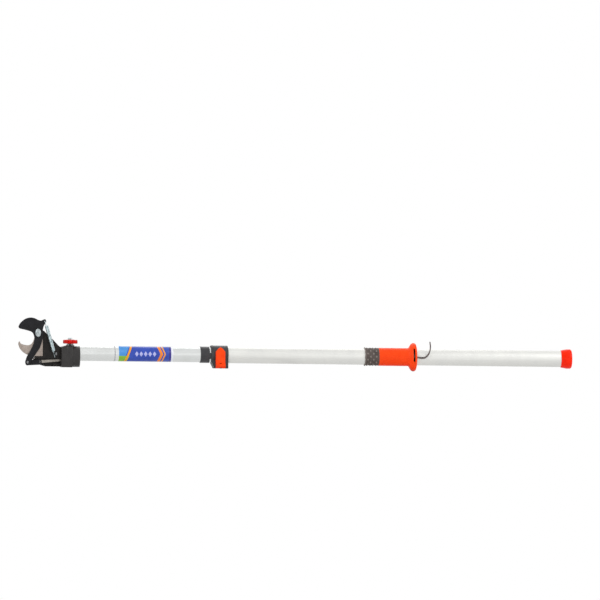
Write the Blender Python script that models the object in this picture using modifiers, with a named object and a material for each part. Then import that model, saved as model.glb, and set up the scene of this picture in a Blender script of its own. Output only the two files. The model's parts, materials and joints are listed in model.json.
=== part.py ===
"""Telescopic pole pruner.

Frame: X runs along the pole with the cutting head towards -X, Z is up, and the
tool lies on its housing and its grip flange at Z = 0. The origin is under the
middle of the whole length. Blades, links and springs lie in planes of constant Y,
and the side with the cutting blade faces -Y.
"""
import math

import bmesh
import bpy
from mathutils import Matrix, Vector

MM = 0.001

# Running and seating clearances
GAP = 0.3 * MM                    # between pieces that seat on each other
PIN_GAP = 0.3 * MM                # around a pin or screw in its hole
SLIDE_GAP = 0.3 * MM              # around a sliding tube, rod or block
PAST = 1 * MM                     # how far a cutter reaches past the face it opens

# Pole tubes
LOWER_TUBE_D = 31.5 * MM
TUBE_WALL = 0.8 * MM
UPPER_TUBE_D = LOWER_TUBE_D - 2 * TUBE_WALL - 2 * SLIDE_GAP
UPPER_TUBE_LENGTH = 798 * MM
UPPER_TUBE_SHOWN = 353 * MM       # between housing and collet sleeve, as set in the photograph
LOWER_TUBE_IN_CLAMP = 43 * MM     # how far the lower tube reaches into the clamp
LOWER_TUBE_TO_GRIP = 400 * MM     # bare tube between clamp and grip collar
LOWER_TUBE_TO_CAP = 423.3 * MM    # bare tube between grip flange and end cap

# Cutting head: pivot, and layers of the head along Y
BEAK_REACH = 56.8 * MM            # pivot to beak tip
PIVOT_HEIGHT = 39 * MM            # pivot above the pole's axis
PIVOT_TO_HOUSING = 68.2 * MM
SHEAR_PLANE = -2.15 * MM          # where the two blades slide on each other
BLADE_THICKNESS = 5.2 * MM
HOOK_THICKNESS = 4.5 * MM
PLATE_THICKNESS = 6.2 * MM
RAIL_STEP = 2.1 * MM              # the plate is this much thinner behind the pull strip
BOSS_R = 9.3 * MM                 # of hook blade and plate around the pivot
PAD_LENGTH = 53 * MM              # raised pad of the plate, ahead of the housing
PLATE_DROP = 26.3 * MM            # lowest edge of the plate, below the axis
RAIL_TOP = -11 * MM               # upper edge of the channel for the pull strip
LIP_TOP = -20.8 * MM              # lower edge of that channel
LIP_LENGTH = 22 * MM
HOOK_FOOT = -6.2 * MM             # straight lower edge of the hook blade
HOOK_SCREW_AHEAD = 12.2 * MM      # screw of the hook blade: ahead of the pivot
HOOK_SCREW_DROP = 47.4 * MM       # and below it
HOOK_SCREW_D = 3.2 * MM
HOOK_SCREW_HEAD_D = 6.6 * MM
HOOK_SCREW_HEAD_DEPTH = 2 * MM
HOOK_SCREW_BOSS_R = 4.2 * MM
PLATE_SCREW_FRONT = (14 * MM, -1.5 * MM)      # ahead of the housing, and from the axis
PLATE_SCREW_REAR = (19 * MM, 10 * MM)
PLATE_SCREW_D = 4 * MM
PLATE_SCREW_HEAD_D = 7 * MM
PLATE_SCREW_HEAD_HEIGHT = 2.4 * MM
PLATE_SKIN = 2.5 * MM             # left in front of the rear screw's blind hole
PIVOT_BOLT_D = 8 * MM
PIVOT_HEAD_D = 17 * MM
PIVOT_HEAD_HEIGHT = 4 * MM
PIVOT_NUT_FLATS = 14 * MM
PIVOT_NUT_HEIGHT = 6 * MM
PIVOT_BOLT_END = 2 * MM           # thread that shows behind the nut

# Linkage
ARM_REACH = 30.1 * MM             # lower pin of the blade's arm: this far in front of the pivot
ARM_DROP = 57.5 * MM              # and this far below it
ARM_EYE_D = 12.8 * MM
LUG_R = 4.2 * MM                  # rounding of the lug around its hole
LINK_PIN_D = 4 * MM
LINK_PIN_HEAD_D = 6.6 * MM
LINK_PIN_HEAD_HEIGHT = 1.1 * MM
LINK_ABOVE = 4.4 * MM             # link bar's upper edge above the line between its pins
LINK_BELOW = 6.2 * MM             # and its lower edge below it
LINK_THICKNESS = 3.1 * MM
STRIP_PIN_D = 2.6 * MM
STRIP_PIN_PLAY = 1.5 * MM         # play up and down of the strip pin in the link's slot
STRIP_SLOT_GAP = 0.6 * MM         # around the pin in that slot
STRIP_EYE_AHEAD = 61 * MM         # strip pin: this far in front of the housing
STRIP_EYE_DROP = 17 * MM          # and this far below the pole's axis
STRIP_REAR_DROP = 13.4 * MM       # height of the strip in the crosshead, below the axis
STRIP_THICKNESS = 3 * MM
STRIP_EYE_HEIGHT = 5.6 * MM
STRIP_REAR_HEIGHT = 3.8 * MM
STROKE = 32.0 * MM                # travel of grip, rod, crosshead and strip

# Return spring
SPRING_D = 10 * MM
SPRING_WIRE_D = 1.6 * MM
SPRING_TURNS = 24
SPRING_CENTRE_Y = -11.3 * MM      # in front of the blade, so that its edge passes behind
SPRING_EYE_GAP = 0.6 * MM         # around the wire in the holes of lug and plate
SPRING_LUG_HOLE = (19.6 * MM, 22.5 * MM)      # hole in the blade's lug, from the pivot
SPRING_PLATE_HOLE = (17.4 * MM, -8.6 * MM)    # hole in the plate, ahead of the housing and from the axis
SPRING_LUG_END = 9.5 * MM         # from the lug's hole to the first turn
SPRING_PLATE_END = 13 * MM        # from the last turn to the plate's hole

# Housing and what slides in it
HOUSING_LENGTH = 53.8 * MM
HOUSING_WIDTH = 33 * MM
HOUSING_TOP = 14.4 * MM
HOUSING_BOTTOM = 27.6 * MM
HOUSING_FRONT_WALL = 3 * MM
HOUSING_REAR_WALL = 3.6 * MM
HOUSING_SIDE_WALL = 10 * MM
HOUSING_TOP_WALL = 8 * MM
HOUSING_FLOOR = 7.4 * MM
HOUSING_EDGE = 3 * MM             # rounding of the housing's edges
HOUSING_SLOPE = (13 * MM, 2.6 * MM)           # sloped front of its top: length and drop
SOCKET_LENGTH = 21 * MM           # rounded rear part that holds the tube
SOCKET_STEP = 0.8 * MM            # it stands back this much from the rest
SOCKET_ROUND = 13 * MM
SPIGOT_LENGTH = 28 * MM
SPIGOT_WALL = 3 * MM
EAR_LENGTH = 24 * MM
EAR_THICKNESS = 6 * MM
EAR_HEIGHT = 16 * MM              # above and below the axis
EAR_ROOT = 5 * MM                 # how far it reaches into the housing
MOUTH_GAP = 0.6 * MM              # around the strip where it enters the housing
TUBE_RIVET_D = 4 * MM
TUBE_RIVET_DEPTH = 2 * MM         # of its shank in the spigot
TUBE_RIVET_FROM_HOUSING = 14 * MM
CROSSHEAD_LENGTH = 13 * MM
CROSSHEAD_START = 0.8 * MM        # behind the housing's front wall, with the blade open
STRIP_IN_CROSSHEAD = 8.4 * MM
ROD_IN_CROSSHEAD = 11 * MM
ROD_D = 8 * MM
ROD_WAY_PLAY = 0.4 * MM           # more play where the rod passes the housing's rear wall
ROD_TO_DRIVE_PIN = 28 * MM        # between the rod's far end and the drive pin, pole as set
ROD_PIN_D = 3 * MM
STRIP_HOLD_PIN_D = 2 * MM
PIN_INSET = 0.2 * MM              # of the cross pins, from the crosshead's sides

# Knob on the housing
KNOB_AHEAD_OF_REAR = 26.8 * MM    # knob axis in front of the housing's rear face
KNOB_D = 42.5 * MM
KNOB_LOBES = 7
KNOB_THICKNESS = 7.8 * MM
KNOB_DIP = 0.17                   # depth between lobes, as a share of the radius
KNOB_HUB_D = 18 * MM
KNOB_HUB_HEIGHT = 0.8 * MM
STUD_D = 8 * MM
STUD_CAP_D = 13.4 * MM             # domed end that keeps the knob on its stud
STUD_CAP_HEIGHT = 4 * MM
STUD_CHAMFER = 0.8 * MM
STUD_IN_HOUSING = 5.2 * MM
WASHER_D = 20 * MM
WASHER_THICKNESS = 1.6 * MM
KNOB_BOSS_D = 25 * MM
KNOB_BOSS_HEIGHT = 1.4 * MM

# Clamp between the tubes
SLEEVE_LENGTH = 26.6 * MM
SLEEVE_WALL = 0.9 * MM
SLEEVE_TONGUE = 3.9 * MM          # gap between sleeve and clamp, bridged by the tongue
CLAMP_LENGTH = 50.2 * MM
CLAMP_WALL = 2.2 * MM
CLAMP_BOTTOM = 26.4 * MM
CLAMP_CHAMFER = 14 * MM
CLAMP_SLIT = 3 * MM
TONGUE_LOW = -8 * MM              # lower and upper edge of the sleeve's tongue
TONGUE_HIGH = 4 * MM
CLAMP_EAR_FRONT = 15.5 * MM
CLAMP_EAR_BACK = 13 * MM
LEVER_FROM_FRONT = 12 * MM
LEVER_WIDTH = 27.6 * MM
LEVER_SHOULDER = 6 * MM           # height of the lever's shoulders above the axis
LEVER_TIP = 15 * MM               # height of its tip above the axis
LEVER_THICKNESS = 3.6 * MM
CAM_D = 11 * MM
CAM_PIN_D = 6 * MM
CAM_PIN_DROP = 20.9 * MM
CAM_PIN_SKIN = 1 * MM             # of the barrel pin, in front of the screw's thread
CAM_GAP = 0.9 * MM                # around the screw in the lever's cam
CLAMP_SCREW_D = 4 * MM
CLAMP_NUT_FLATS = 8 * MM
CLAMP_NUT_HEIGHT = 4 * MM
CLAMP_SCREW_END = 1 * MM          # thread that shows behind the nut

# Sliding grip, drive tube and hook
COLLAR_LENGTH = 41.8 * MM
GRIP_D = 34.9 * MM
COLLAR_FLARE = 0.8 * MM
GRIP_LENGTH = 87.8 * MM
FLANGE_LENGTH = 21.5 * MM
FLANGE_D = 2 * HOUSING_BOTTOM     # both touch the ground when the tool lies down
DRIVE_TUBE_D = 12 * MM
DRIVE_TUBE_LENGTH = 460 * MM
DRIVE_PIN_D = 5 * MM
DRIVE_PIN_FROM_GRIP = 30 * MM
DRIVE_TUBE_BEHIND_PIN = 11 * MM
PIN_POCKET_SKIN = 0.5 * MM        # of grip left over each end of the drive pin
BUSH_LENGTH = 18 * MM
HOOK_WIRE_D = 3.6 * MM
HOOK_RING_R = 20.6 * MM
HOOK_RISE = 30 * MM
HOOK_BEND_R = 16.5 * MM
HOOK_REACH = 40 * MM              # from the flange's rear face to the outer side of the hook
HOOK_SWING = math.radians(15)
RING_ARC = math.radians(20)
SWING_SPARE = 0.14                # of the hook's groove past the swing, in radians
SLOT_FROM_REAR = 11.5 * MM
SLOT_WIDTH = 5 * MM

# End cap
CAP_LENGTH = 32.2 * MM
CAP_FRONT_D = 34.4 * MM
CAP_REAR_D = 37.8 * MM
CAP_END_WALL = 6 * MM

# Places worked out from the sizes above. X is counted from the beak's tip until
# the whole model is put over its origin by SHIFT.
PIVOT_X = BEAK_REACH
HOUSING_X = PIVOT_X + PIVOT_TO_HOUSING
HOUSING_REAR_X = HOUSING_X + HOUSING_LENGTH
SLEEVE_X = HOUSING_REAR_X + UPPER_TUBE_SHOWN
CLAMP_X = SLEEVE_X + SLEEVE_LENGTH + SLEEVE_TONGUE
CLAMP_REAR_X = CLAMP_X + CLAMP_LENGTH
COLLAR_X = CLAMP_REAR_X + LOWER_TUBE_TO_GRIP
GRIP_X = COLLAR_X + COLLAR_LENGTH
FLANGE_X = GRIP_X + GRIP_LENGTH
FLANGE_REAR_X = FLANGE_X + FLANGE_LENGTH
CAP_X = FLANGE_REAR_X + LOWER_TUBE_TO_CAP
TAIL_X = CAP_X + CAP_LENGTH
SHIFT = Vector((-TAIL_X / 2, 0, HOUSING_BOTTOM))
DRIVE_PIN_X = GRIP_X + DRIVE_PIN_FROM_GRIP
BLADE_Y = SHEAR_PLANE - GAP / 2                    # rear face of the cutting blade
HOOK_Y = SHEAR_PLANE + GAP / 2                     # front face of the hook blade
PLATE_Y = HOOK_Y + HOOK_THICKNESS + GAP            # front face of the plate's web
PLATE_REAR_Y = PLATE_Y + PLATE_THICKNESS
RAIL_Y = PLATE_Y + RAIL_STEP
LINK_Y = BLADE_Y + GAP                             # front face of the link bar
STRIP_Y = LINK_Y + LINK_THICKNESS + GAP            # front face of the pull strip
LOWER_TUBE_BORE_D = LOWER_TUBE_D - 2 * TUBE_WALL
UPPER_TUBE_BORE_D = UPPER_TUBE_D - 2 * TUBE_WALL
COVER_BORE_D = LOWER_TUBE_D + 2 * GAP              # bore of what goes over the lower tube
ARM_EYE = (PIVOT_X - ARM_REACH, PIVOT_HEIGHT - ARM_DROP)
SPRING_LUG = (PIVOT_X + SPRING_LUG_HOLE[0], PIVOT_HEIGHT + SPRING_LUG_HOLE[1])
SPRING_FOOT = (HOUSING_X - SPRING_PLATE_HOLE[0], SPRING_PLATE_HOLE[1])
HOOK_SCREW = (PIVOT_X - HOOK_SCREW_AHEAD, PIVOT_HEIGHT - HOOK_SCREW_DROP)
PLATE_SCREWS = [(HOUSING_X - ahead, height) for ahead, height in (PLATE_SCREW_FRONT, PLATE_SCREW_REAR)]
CROSSHEAD_X = HOUSING_X + HOUSING_FRONT_WALL + SLIDE_GAP + CROSSHEAD_START
CAVITY_TOP = HOUSING_TOP - HOUSING_TOP_WALL
CAVITY_BOTTOM = HOUSING_FLOOR - HOUSING_BOTTOM
CAVITY_HALF = HOUSING_WIDTH / 2 - HOUSING_SIDE_WALL
STRIP_EYE = (HOUSING_X - STRIP_EYE_AHEAD, -STRIP_EYE_DROP)
STRIP_REAR_X = CROSSHEAD_X + STRIP_IN_CROSSHEAD
STRIP_HOLD_PIN = (CROSSHEAD_X + 0.6 * STRIP_IN_CROSSHEAD, -STRIP_REAR_DROP)
ROD_X = CROSSHEAD_X + CROSSHEAD_LENGTH - ROD_IN_CROSSHEAD
ROD_PIN = (ROD_X + ROD_IN_CROSSHEAD / 2, 0.0)
TUBE_RIVET_X = HOUSING_REAR_X + TUBE_RIVET_FROM_HOUSING
KNOB_X = HOUSING_REAR_X - KNOB_AHEAD_OF_REAR
SPIGOT_D = UPPER_TUBE_BORE_D - 2 * GAP
LEVER_MIDDLE_X = CLAMP_X + LEVER_FROM_FRONT + LEVER_WIDTH / 2
CAM_Y = -CLAMP_EAR_FRONT - GAP - CAM_D / 2
LEVER_Y = min(-COVER_BORE_D / 2 - CLAMP_WALL - GAP, CAM_Y + CAM_D / 2) - LEVER_THICKNESS

ROUND_STEPS = 40                  # round of the pieces people hold
SMALL_STEPS = 20                  # round of pins and screws
TO_X = (0, math.pi / 2, 0)        # turns a piece made along +Z to run along +X
TO_BACK = (-math.pi / 2, 0, 0)    # turns a piece made along +Z to run along +Y
TO_FRONT = (math.pi / 2, 0, 0)    # and along -Y


def collection(name):
    """A new collection in the scene."""
    made = bpy.data.collections.new(name)
    bpy.context.scene.collection.children.link(made)
    return made


def material(name, colour, roughness, metallic):
    """A Principled material of one plain finish."""
    made = bpy.data.materials.new(name)
    made.use_nodes = True
    shader = made.node_tree.nodes["Principled BSDF"]
    shader.inputs["Base Color"].default_value = (*colour, 1)
    shader.inputs["Roughness"].default_value = roughness
    shader.inputs["Metallic"].default_value = metallic
    return made


def add(name, data, finish=None, at=(0, 0, 0), turn=(0, 0, 0), where=None):
    """Put mesh or curve data in the scene as an object, placed from the beak's tip and the axis."""
    made = bpy.data.objects.new(name, data)
    (where or PART).objects.link(made)
    made.location = Vector(at) + SHIFT
    made.rotation_euler = turn
    if finish:
        data.materials.append(finish)
    return made


def arc(centre, radius, start, end, steps):
    """Points on an arc, with angles in degrees counted from +X towards +Z."""
    cx, cz = centre
    span = math.radians(end - start)
    first = math.radians(start)
    return [
        (cx + radius * math.cos(first + span * k / steps), cz + radius * math.sin(first + span * k / steps))
        for k in range(steps + 1)
    ]


def flowing(points, steps=4):
    """Points of a smooth run through the given ones, ends included."""
    ends = [points[0], *points, points[-1]]
    run = []
    for p0, p1, p2, p3 in zip(ends, ends[1:], ends[2:], ends[3:]):
        for k in range(steps):
            t = k / steps
            run.append(tuple(
                0.5 * (2 * b + (c - a) * t + (2 * a - 5 * b + 4 * c - d) * t ** 2 + (3 * b - a - 3 * c + d) * t ** 3)
                for a, b, c, d in zip(p0, p1, p2, p3)
            ))
    return run + [points[-1]]


def from_pivot(points):
    """Millimetre points counted from the pivot, as places from the beak's tip and the axis."""
    return [(PIVOT_X + x * MM, PIVOT_HEIGHT + z * MM) for x, z in points]


def plate_outline(name, outline, holes, front, thickness, finish=None, where=None):
    """A flat piece in a plane of constant Y, welded to a mesh, with round or free holes."""
    flat = bpy.data.curves.new(name, "CURVE")
    flat.dimensions = "2D"
    flat.fill_mode = "BOTH"
    flat.extrude = thickness / 2
    for points in [outline, *holes]:
        line = flat.splines.new("POLY")
        line.points.add(len(points) - 1)
        for point, (x, z) in zip(line.points, points):
            point.co = (x, z, 0, 1)
        line.use_cyclic_u = True
    made = add(name, flat, at=(0, front + thickness / 2, 0), turn=(math.pi / 2, 0, 0), where=where)
    return as_mesh(made, finish)


def as_mesh(made, finish=None):
    """Turn a curve object into a welded mesh object of the same name and place."""
    bpy.context.view_layer.update()
    graph = bpy.context.evaluated_depsgraph_get()
    mesh = bpy.data.meshes.new_from_object(made.evaluated_get(graph))
    work = bmesh.new()
    work.from_mesh(mesh)
    bmesh.ops.remove_doubles(work, verts=work.verts, dist=1e-6)
    bmesh.ops.recalc_face_normals(work, faces=work.faces)
    work.to_mesh(mesh)
    work.free()
    name = made.name
    home = made.users_collection[0]
    place = made.matrix_world.copy()
    curve = made.data
    bpy.data.objects.remove(made)
    bpy.data.curves.remove(curve)
    solid = bpy.data.objects.new(name, mesh)
    home.objects.link(solid)
    solid.matrix_world = place
    mesh.materials.clear()
    if finish:
        mesh.materials.append(finish)
    return solid


def circle(centre, diameter, steps=SMALL_STEPS):
    """Points of a round hole."""
    return arc(centre, diameter / 2, 0, 360, steps)[:-1]


def turned(name, profile, at, turn, finish=None, steps=ROUND_STEPS, closed=True, where=None):
    """A turned piece from (radius, height) points that run down its outer side."""
    mesh = bpy.data.meshes.new(name)
    count = len(profile)
    edges = [(k, k + 1) for k in range(count - 1)]
    if closed:
        edges.append((count - 1, 0))
    mesh.from_pydata([(radius, 0, height) for radius, height in profile], edges, [])
    made = add(name, mesh, finish, at, turn, where)
    screw = made.modifiers.new("Turn", "SCREW")
    screw.steps = steps
    screw.render_steps = steps
    screw.use_merge_vertices = True
    screw.merge_threshold = 1e-5
    screw.use_smooth_shade = True
    return made


def rod(name, diameter, length, at, turn, finish=None, steps=SMALL_STEPS, chamfer=0.0, where=None):
    """A solid round bar from its first end, with chamfered ends if asked."""
    radius = diameter / 2
    if chamfer:
        profile = [(0, length), (radius - chamfer, length), (radius, length - chamfer),
                   (radius, chamfer), (radius - chamfer, 0), (0, 0)]
    else:
        profile = [(0, length), (radius, length), (radius, 0), (0, 0)]
    return turned(name, profile, at, turn, finish, steps, closed=False, where=where)


def tube(name, outer, bore, length, at, turn, finish=None, steps=ROUND_STEPS, where=None):
    """A plain tube from its first end."""
    profile = [(outer / 2, length), (outer / 2, 0), (bore / 2, 0), (bore / 2, length)]
    return turned(name, profile, at, turn, finish, steps, where=where)


def block(name, low, high, finish=None, bevel=0.0, segments=2, where=None):
    """A box between two corners, with rounded edges if asked."""
    bpy.ops.mesh.primitive_cube_add(size=1)
    made = bpy.context.active_object
    made.name = name
    made.data.name = name
    for other in list(made.users_collection):
        other.objects.unlink(made)
    (where or PART).objects.link(made)
    size = Vector(high) - Vector(low)
    made.data.transform(Matrix.Diagonal((*size, 1)))
    made.location = (Vector(high) + Vector(low)) / 2 + SHIFT
    if finish:
        made.data.materials.append(finish)
    if bevel:
        edge = made.modifiers.new("Edges", "BEVEL")
        edge.width = bevel
        edge.segments = segments
        edge.limit_method = "ANGLE"
    return made


def combine(made, other, operation):
    """Join another solid to a piece, or cut it away."""
    other.hide_render = True
    other.display_type = "WIRE"
    step = made.modifiers.new(operation.title() + " " + other.name, "BOOLEAN")
    step.operation = operation
    step.object = other
    step.solver = "EXACT"
    return made


def cut(made, *cutters):
    """Cut each of the given solids away from a piece."""
    for cutter in cutters:
        combine(made, cutter, "DIFFERENCE")
    return made


def join(made, *others):
    """Join each of the given solids to a piece."""
    for other in others:
        combine(made, other, "UNION")
    return made


def across(name, diameter, centre, front, rear, steps=SMALL_STEPS):
    """A round cutter along Y."""
    x, z = centre
    return rod(name, diameter, rear - front, (x, front, z), TO_BACK, steps=steps, where=CUTTERS)


def hexagon(flats):
    """Corner points of a hexagon with the given width over its flats."""
    return arc((0, 0), flats / math.sqrt(3), 0, 360, 6)[:-1]


def nut(name, flats, hole, height, at, finish):
    """A hexagon nut on a Y axis, from its front face."""
    x, y, z = at
    outline = [(x + dx, z + dz) for dx, dz in hexagon(flats)]
    return plate_outline(name, outline, [circle((x, z), hole)], y, height, finish)


def blade_outline():
    """Beak, back, lug, arm and eye of the cutting blade."""
    top = flowing(from_pivot([(-56.8, 11.9), (-50.8, 19.3), (-37, 27), (-22.5, 29.7), (-10.5, 28.6),
                              (0.5, 25.2), (8.6, 23.9), (15, 25.6)]))
    lug = arc(SPRING_LUG, LUG_R, 110, -60, 7)
    back = flowing(from_pivot([(16.5, 12.6), (14.5, 6), (16.2, -3), (14.1, -10.9), (7.4, -26.7),
                               (-1.4, -36.8), (-11.9, -46.8)]), 3)
    eye = arc(ARM_EYE, ARM_EYE_D / 2, -46, -200, 11)
    front = flowing(from_pivot([(-32.3, -47), (-15.9, -27), (-9.8, -13), (-11, -6.5), (-14.4, -0.9),
                                (-21.1, 2.3), (-36, 5.1), (-50.9, 7.4), (-55.6, 9.6)]), 3)
    return top + lug + back + eye + front


def cutting_blade(finish):
    """The moving blade: an upper beak, a long arm and a lug for the spring."""
    holes = [circle((PIVOT_X, PIVOT_HEIGHT), PIVOT_BOLT_D + 2 * PIN_GAP),
             circle(ARM_EYE, LINK_PIN_D + 2 * PIN_GAP, 14),
             circle(SPRING_LUG, SPRING_WIRE_D + 2 * SPRING_EYE_GAP, 12)]
    plate_outline("cutting_blade", blade_outline(), holes, BLADE_Y - BLADE_THICKNESS, BLADE_THICKNESS, finish)


def hook_outline():
    """Hook under the beak, body behind the arm, and the corner with the screw."""
    inner = flowing(from_pivot([(-52.1, -17), (-48.6, -21.4), (-36, -24), (-24, -23.9), (-15.4, -19.2),
                                (-9.4, -11)]), 3)
    boss = arc((PIVOT_X, PIVOT_HEIGHT), BOSS_R, 180, 20, 9)
    edge = HOUSING_X - PAD_LENGTH - GAP
    side = [(edge, PIVOT_HEIGHT - 0.9 * BOSS_R), (edge, HOOK_FOOT)]
    meets = math.degrees(math.asin((HOOK_FOOT - HOOK_SCREW[1]) / HOOK_SCREW_BOSS_R))
    corner = arc(HOOK_SCREW, HOOK_SCREW_BOSS_R, meets, -210, 10)
    outer = flowing(from_pivot([(-31.6, -42.4), (-41.8, -38), (-50.9, -31.2), (-55.6, -23.4), (-54.9, -18.4)]), 3)
    return inner + boss + side + corner + outer


def hook_blade(finish):
    """The fixed counter blade, let into the plate."""
    holes = [circle((PIVOT_X, PIVOT_HEIGHT), PIVOT_BOLT_D + 2 * PIN_GAP),
             circle(HOOK_SCREW, HOOK_SCREW_D + 2 * PIN_GAP, 14)]
    made = plate_outline("hook_blade", hook_outline(), holes, HOOK_Y, HOOK_THICKNESS, finish)
    seat = across("hook_screw_seat", HOOK_SCREW_HEAD_D + 2 * PIN_GAP, HOOK_SCREW,
                  HOOK_Y - PAST, HOOK_Y + HOOK_SCREW_HEAD_DEPTH + GAP)
    cut(made, seat)


def head_plate(finish):
    """Cast plate: a web behind the blades, a raised pad, and the open channel of the pull strip."""
    end = HOUSING_X - GAP
    top = flowing([(PIVOT_X + 8 * MM, PIVOT_HEIGHT + 7 * MM), (PIVOT_X + 19 * MM, PIVOT_HEIGHT + 3.6 * MM),
                   (HOUSING_X - 43 * MM, 38.6 * MM), (HOUSING_X - 24 * MM, 26.6 * MM),
                   (HOUSING_X - 8 * MM, 15.2 * MM)], 3)
    top = top + [(end, 11.4 * MM)]
    boss = arc((PIVOT_X, PIVOT_HEIGHT), BOSS_R, 195, 48, 8)
    foot = arc(HOOK_SCREW, HOOK_SCREW_BOSS_R, 270, 160, 5)
    inner = [(PIVOT_X - 4 * MM, PIVOT_HEIGHT - 22 * MM)]
    low = [(end, -PLATE_DROP), (HOUSING_X - 44 * MM, -PLATE_DROP), (HOUSING_X - 61 * MM, -23 * MM),
           (HOOK_SCREW[0] + 8 * MM, -17 * MM)]
    made = plate_outline("head_plate", boss + top + low + foot + inner, [], HOOK_Y, PLATE_REAR_Y - HOOK_Y, finish)
    front = HOOK_Y - PAST
    past_rear = PLATE_REAR_Y + PAST
    past_left = -PAST
    recess = block("hook_recess", (past_left, front, HOOK_FOOT - GAP),
                   (HOUSING_X - PAD_LENGTH, PLATE_Y, PIVOT_HEIGHT + 2 * BOSS_R), where=CUTTERS)
    corner = across("hook_corner", 2 * (HOOK_SCREW_BOSS_R + GAP), HOOK_SCREW, front, PLATE_Y)
    channel = block("strip_channel", (past_left, front, LIP_TOP), (HOUSING_X + PAST, RAIL_Y, RAIL_TOP), where=CUTTERS)
    under = block("channel_end", (past_left, front, -PLATE_DROP - PAST),
                  (HOUSING_X - LIP_LENGTH, RAIL_Y, LIP_TOP + PAST), where=CUTTERS)
    screw_front, screw_rear = PLATE_SCREWS
    screw_hole = PLATE_SCREW_D + 2 * PIN_GAP
    cut(made, recess, corner, channel, under,
        across("pivot_hole", PIVOT_BOLT_D + 2 * PIN_GAP, (PIVOT_X, PIVOT_HEIGHT), PLATE_Y - PAST, past_rear),
        across("hook_screw_hole", HOOK_SCREW_D + 2 * PIN_GAP, HOOK_SCREW, PLATE_Y - PAST, past_rear),
        across("spring_hole", SPRING_WIRE_D + 2 * SPRING_EYE_GAP, SPRING_FOOT, front, HOOK_Y + 5 * MM),
        across("plate_screw_hole_front", screw_hole, screw_front, front, past_rear),
        across("plate_screw_hole_rear", screw_hole, screw_rear, HOOK_Y + PLATE_SKIN, past_rear))


def head_screws(finish):
    """Pivot bolt and nut, and the flush hook screw."""
    bolt_length = PLATE_REAR_Y + PIVOT_NUT_HEIGHT + PIVOT_BOLT_END - BLADE_Y + BLADE_THICKNESS
    face = BLADE_Y - BLADE_THICKNESS - GAP
    head = PIVOT_HEAD_D / 2
    shank = PIVOT_BOLT_D / 2
    turned("pivot_bolt", [(0, bolt_length), (shank, bolt_length), (shank, GAP), (shank, 0), (head, 0),
                          (head, -PIVOT_HEAD_HEIGHT * 0.55), (head - 1.6 * MM, -PIVOT_HEAD_HEIGHT * 0.9),
                          (head - 4 * MM, -PIVOT_HEAD_HEIGHT), (0, -PIVOT_HEAD_HEIGHT)],
           (PIVOT_X, face, PIVOT_HEIGHT), TO_BACK, finish, closed=False, steps=32)
    nut("pivot_nut", PIVOT_NUT_FLATS, PIVOT_BOLT_D + 2 * PIN_GAP, PIVOT_NUT_HEIGHT,
        (PIVOT_X, PLATE_REAR_Y + GAP, PIVOT_HEIGHT), finish)
    depth = PLATE_REAR_Y - HOOK_Y - PAST
    turned("hook_screw", [(0, depth), (HOOK_SCREW_D / 2, depth), (HOOK_SCREW_D / 2, HOOK_SCREW_HEAD_DEPTH),
                          (HOOK_SCREW_HEAD_D / 2, HOOK_SCREW_HEAD_DEPTH), (HOOK_SCREW_HEAD_D / 2, 0), (0, 0)],
           (HOOK_SCREW[0], HOOK_Y, HOOK_SCREW[1]), TO_BACK, finish, closed=False, steps=SMALL_STEPS)


def screw_profile(length):
    """Profile of a plate screw that points along +Z with its head below its seat at zero."""
    head = PLATE_SCREW_HEAD_D / 2
    shank = PLATE_SCREW_D / 2
    height = PLATE_SCREW_HEAD_HEIGHT
    return [(0, length), (shank, length), (shank, 0), (head, 0), (head, -height * 0.6),
            (head - 0.8 * MM, -height), (0, -height)]


def plate_screws(finish):
    """One screw from the front and one from the back, which join plate and housing ear."""
    ear_rear = PLATE_REAR_Y + GAP + EAR_THICKNESS
    front, rear = PLATE_SCREWS
    turned("plate_screw_front", screw_profile(ear_rear - HOOK_Y - GAP), (front[0], HOOK_Y - GAP, front[1]),
           TO_BACK, finish, closed=False, steps=SMALL_STEPS)
    turned("plate_screw_rear", screw_profile(ear_rear - HOOK_Y - PLATE_SKIN), (rear[0], ear_rear + GAP, rear[1]),
           TO_FRONT, finish, closed=False, steps=SMALL_STEPS)


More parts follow.
